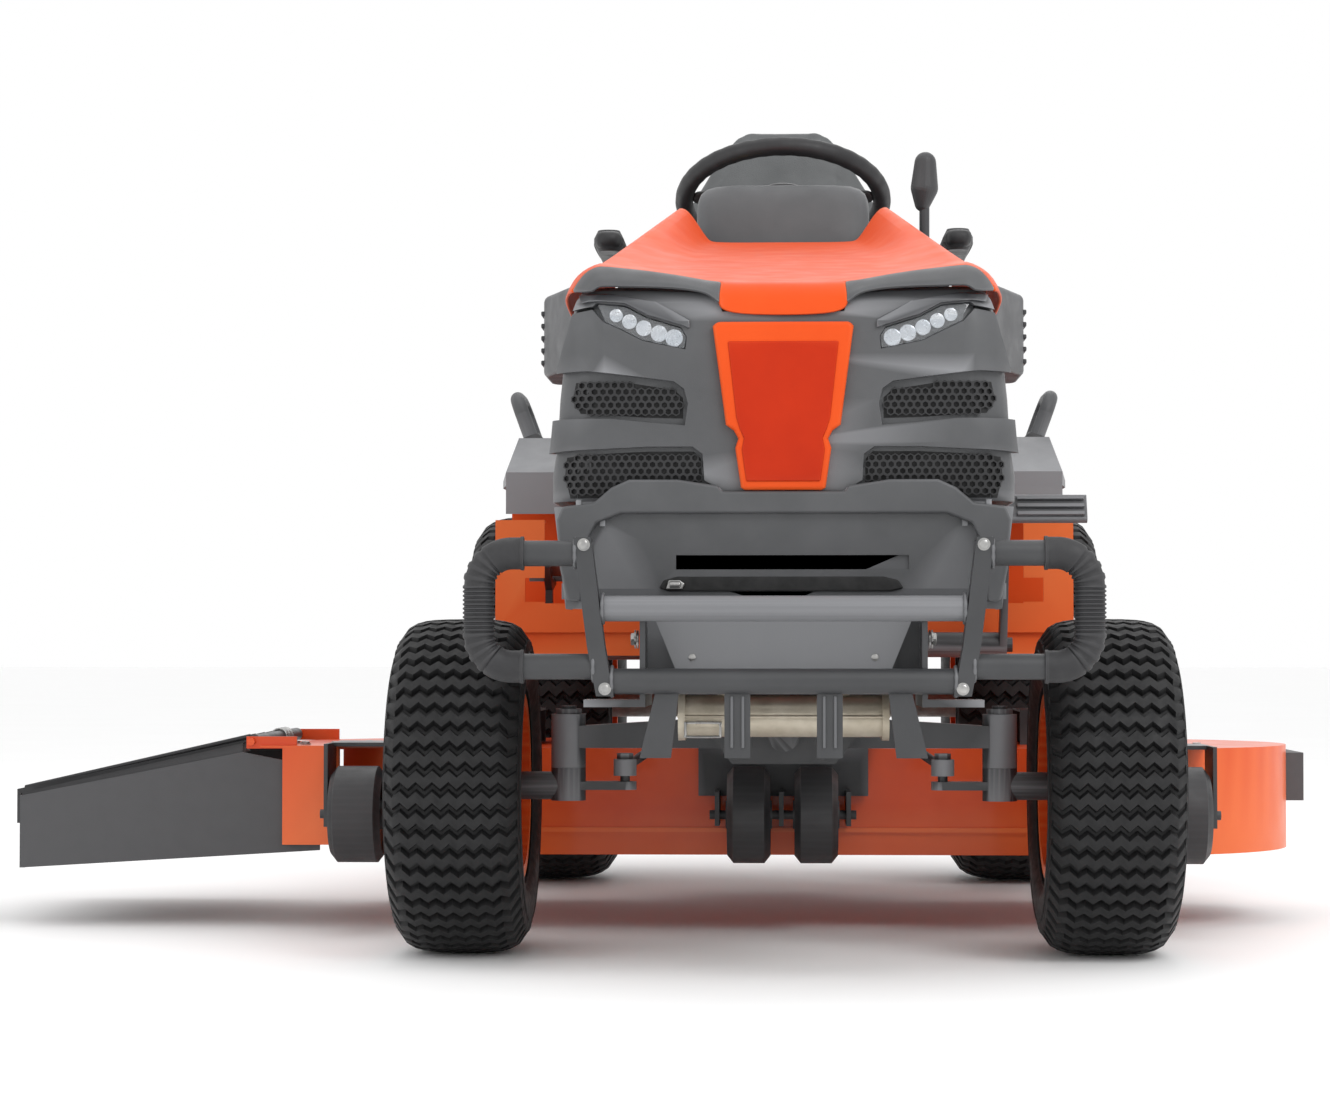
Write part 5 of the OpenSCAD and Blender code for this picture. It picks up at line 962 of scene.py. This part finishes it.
z0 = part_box("seat_cushion")[0].z * 1000
cushion = piece("cushion", [rounded_slab(228, 806, 1146, z0 + 3, 746, 4)], VINYL, "seat",
                replaces=("seat_cushion",))
plump(cushion, 0.006, 0.010)
seams = [[(-150, 826, 757), (-152, 960, 760), (-146, 1130, 757)],
         [(150, 826, 757), (152, 960, 760), (146, 1130, 757)],
         [(-150, 905, 760), (0, 900, 762), (150, 905, 760)], [(-150, 985, 760), (0, 982, 762), (150, 985, 760)],
         [(-150, 1062, 758), (0, 1060, 760), (150, 1062, 758)]]
carve(cushion, [curve(s, 6) for s in seams], 5.0, 6.0, keep=lambda p: p.z > 0.735)
finish_soft(cushion)
edge_line = [(222 * bend(math.cos(a), 0.42),
              976 + 166 * bend(math.sin(a), 0.42), 727)
             for a in turns(96)]
piece("cushion_piping", [tube(edge_line, 3.4, 10, True)], PIPING, "seat")

STATIONS = [(772, 188, 60), (840, 204, 70), (900, 208, 76), (980, 202, 76), (1060, 176, 70), (1110, 146, 62),
            (1150, 122, 54), (1182, 100, 46), (1206, 78, 34), (1216, 56, 18)]
rings = []
for z, half_w, thick in STATIONS:
    y = 1180 - 18 + (z - SEAT_Z) * LEAN
    ring = []
    for a in turns(40):
        c, d = math.cos(a), math.sin(a)
        x = half_w * bend(c, 0.6)
        bolster = 12 * max(0.0, (abs(x) / half_w - 0.55) / 0.45) ** 1.5 if d < 0 else 0.0
        ring.append((x, y + thick / 2 + thick / 2 * bend(d, 0.7) - bolster + 4, z))
    rings.append(ring)
back = piece("back_cushion", [skin(rings)], VINYL, "seat", replaces=("seat_back",))
plump(back, 0.006, 0.010)


def back_face(z, x, out=0.0):
    return (x, 1180 - 16 + (z - SEAT_Z) * LEAN - out, z)


lines = [[back_face(1086, x) for x in (-150, -75, 0, 75, 150)],
         *([back_face(z, x, 2) for z in (800, 900, 1000, 1080)] for x in (-118, 118)),
         *([back_face(z, x) for x in (-118, 0, 118)] for z in (880, 955, 1025))]
carve(back, [curve(s, 5) for s in lines], 5.0, 6.5)
finish_soft(back)

for sign, side in SIDES:
    mid = sign * (241 + 22.5)
    rings = []
    for y, k in ((889, 0.35), (893, 0.7), (902, 0.93), (930, 1.0), (1010, 1.0), (1100, 1.0), (1160, 0.97),
                 (1184, 0.85), (1194, 0.62), (1198, 0.35)):
        rings.append([(mid + 21.5 * k * bend(math.cos(a), 0.6), y,
                       988 + (12.5 if math.sin(a) > 0 else 16) * k * bend(math.sin(a), 0.7)) for a in turns(28)])
    pad = piece(f"armrest_pad_{side}", [skin(rings)], BLACK, f"armrest_{side}")
    plump(pad, 0.004, 0.003)
    finish_soft(pad)
    seam = [(mid + sign * out, y, 984) for out, y in ((0, 893), (21.8, 930), (22.6, 1100), (17, 1186))]
    piece(f"armrest_seam_{side}", [tube(curve(seam, 8), 1.2, 8)], MATT_BLACK, f"armrest_{side}")

# ---------------------------------------------------------------- finishes on the kept CAD nodes
FINISH = {
    "orange_paint": ORANGE, "orange_plastic": ORANGE, "deep_orange_plastic": DEEP_ORANGE, "grey_plastic": GREY,
    "black_paint": PAINT_BLACK, "black_plastic": BLACK, "black_rubber": GRIP_RUBBER, "tyre_rubber": RUBBER,
    "steel": STEEL, "cast_metal": ALLOY, "aluminium": ALLOY, "muffler_metal": MUFFLER, "lamp_lens": LENS,
    "seat_vinyl": VINYL, "yellow_plastic": YELLOW}
for name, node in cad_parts.items():
    for index, old in enumerate(node.data.materials):
        slot = next((s for s in sorted(FINISH, key=len, reverse=True) if old and s in old.name), None)
        if slot:
            node.data.materials[index] = FINISH[slot]
for name in ("deck_shell", "side_bumper", "belt_covers"):
    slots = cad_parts[name].data.materials
    for index in range(len(slots)):
        if slots[index] is ORANGE:
            slots[index] = DECK_PAINT
for name in ("front_axle", "axle_bracket"):
    for index in range(len(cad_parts[name].data.materials)):
        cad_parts[name].data.materials[index] = PAINT_BLACK
EDGES = {
    0.5: "steering_sector", 0.8: "ignition_key", 1.0: "guard_frame heat_shield deck_brackets",
    1.2: "throttle_lever",
    1.5: "axle_bracket lift_lever pto_knob armrest_left armrest_right spindle_left spindle_right",
    2: "side_bumper front_axle grab_handles brake_pedal drive_pedals", 2.5: "deck_shell",
    3: "fender_covers seat_shell deflector muffler transaxle", 4: "lower_fascia belt_covers",
    5: "fender_pan engine_shroud"}
for width, names in EDGES.items():
    for name in names.split():
        bumps(name, width)

# ---------------------------------------------------------------- camera, light and floor
scene = bpy.context.scene
camera_data = bpy.data.cameras.new("camera")
camera_data.lens, camera_data.sensor_width = 86.6, 36.0
camera = bpy.data.objects.new("camera", camera_data)
camera.location = (0.159, -4.45675, 0.369)
camera.rotation_euler = (math.radians(91.667), 0, math.radians(2.12))
scene.collection.objects.link(camera)
scene.camera = camera


def lamp(name, at, aim, size, watts):
    """A soft square area light at one place, aimed at another."""
    data = bpy.data.lights.new(name, "AREA")
    data.shape, data.size, data.energy = "SQUARE", size, watts
    made = bpy.data.objects.new(name, data)
    made.location = at
    made.rotation_euler = (Vector(aim) - Vector(at)).to_track_quat("-Z", "Y").to_euler()
    scene.collection.objects.link(made)


lamp("key_light", (2.4, -3.6, 3.6), (0.1, -0.6, 0.5), 2.0, 75)
lamp("fill_light", (-3.2, -3.2, 1.8), (0, -0.5, 0.5), 2.6, 22)
lamp("top_light", (0, 0.2, 4.2), (0, 0, 0.6), 3.2, 22)
lamp("rear_light", (0.6, 4.2, 3.0), (0, 0.4, 0.6), 2.6, 22)
world = bpy.data.worlds.new("studio")
world.use_nodes = True
world.node_tree.nodes["Background"].inputs["Color"].default_value = (1, 1, 1, 1)
world.node_tree.nodes["Background"].inputs["Strength"].default_value = 1.0
scene.world = world
scene.view_settings.view_transform = "Standard"
floor_mesh = bpy.data.meshes.new("floor")
floor_mesh.from_pydata([(-30, -30, 0), (30, -30, 0), (30, 60, 0), (-30, 60, 0)], [], [(0, 1, 2, 3)])
floor = bpy.data.objects.new("floor", floor_mesh)
floor.data.materials.append(FLOOR)
scene.collection.objects.link(floor)
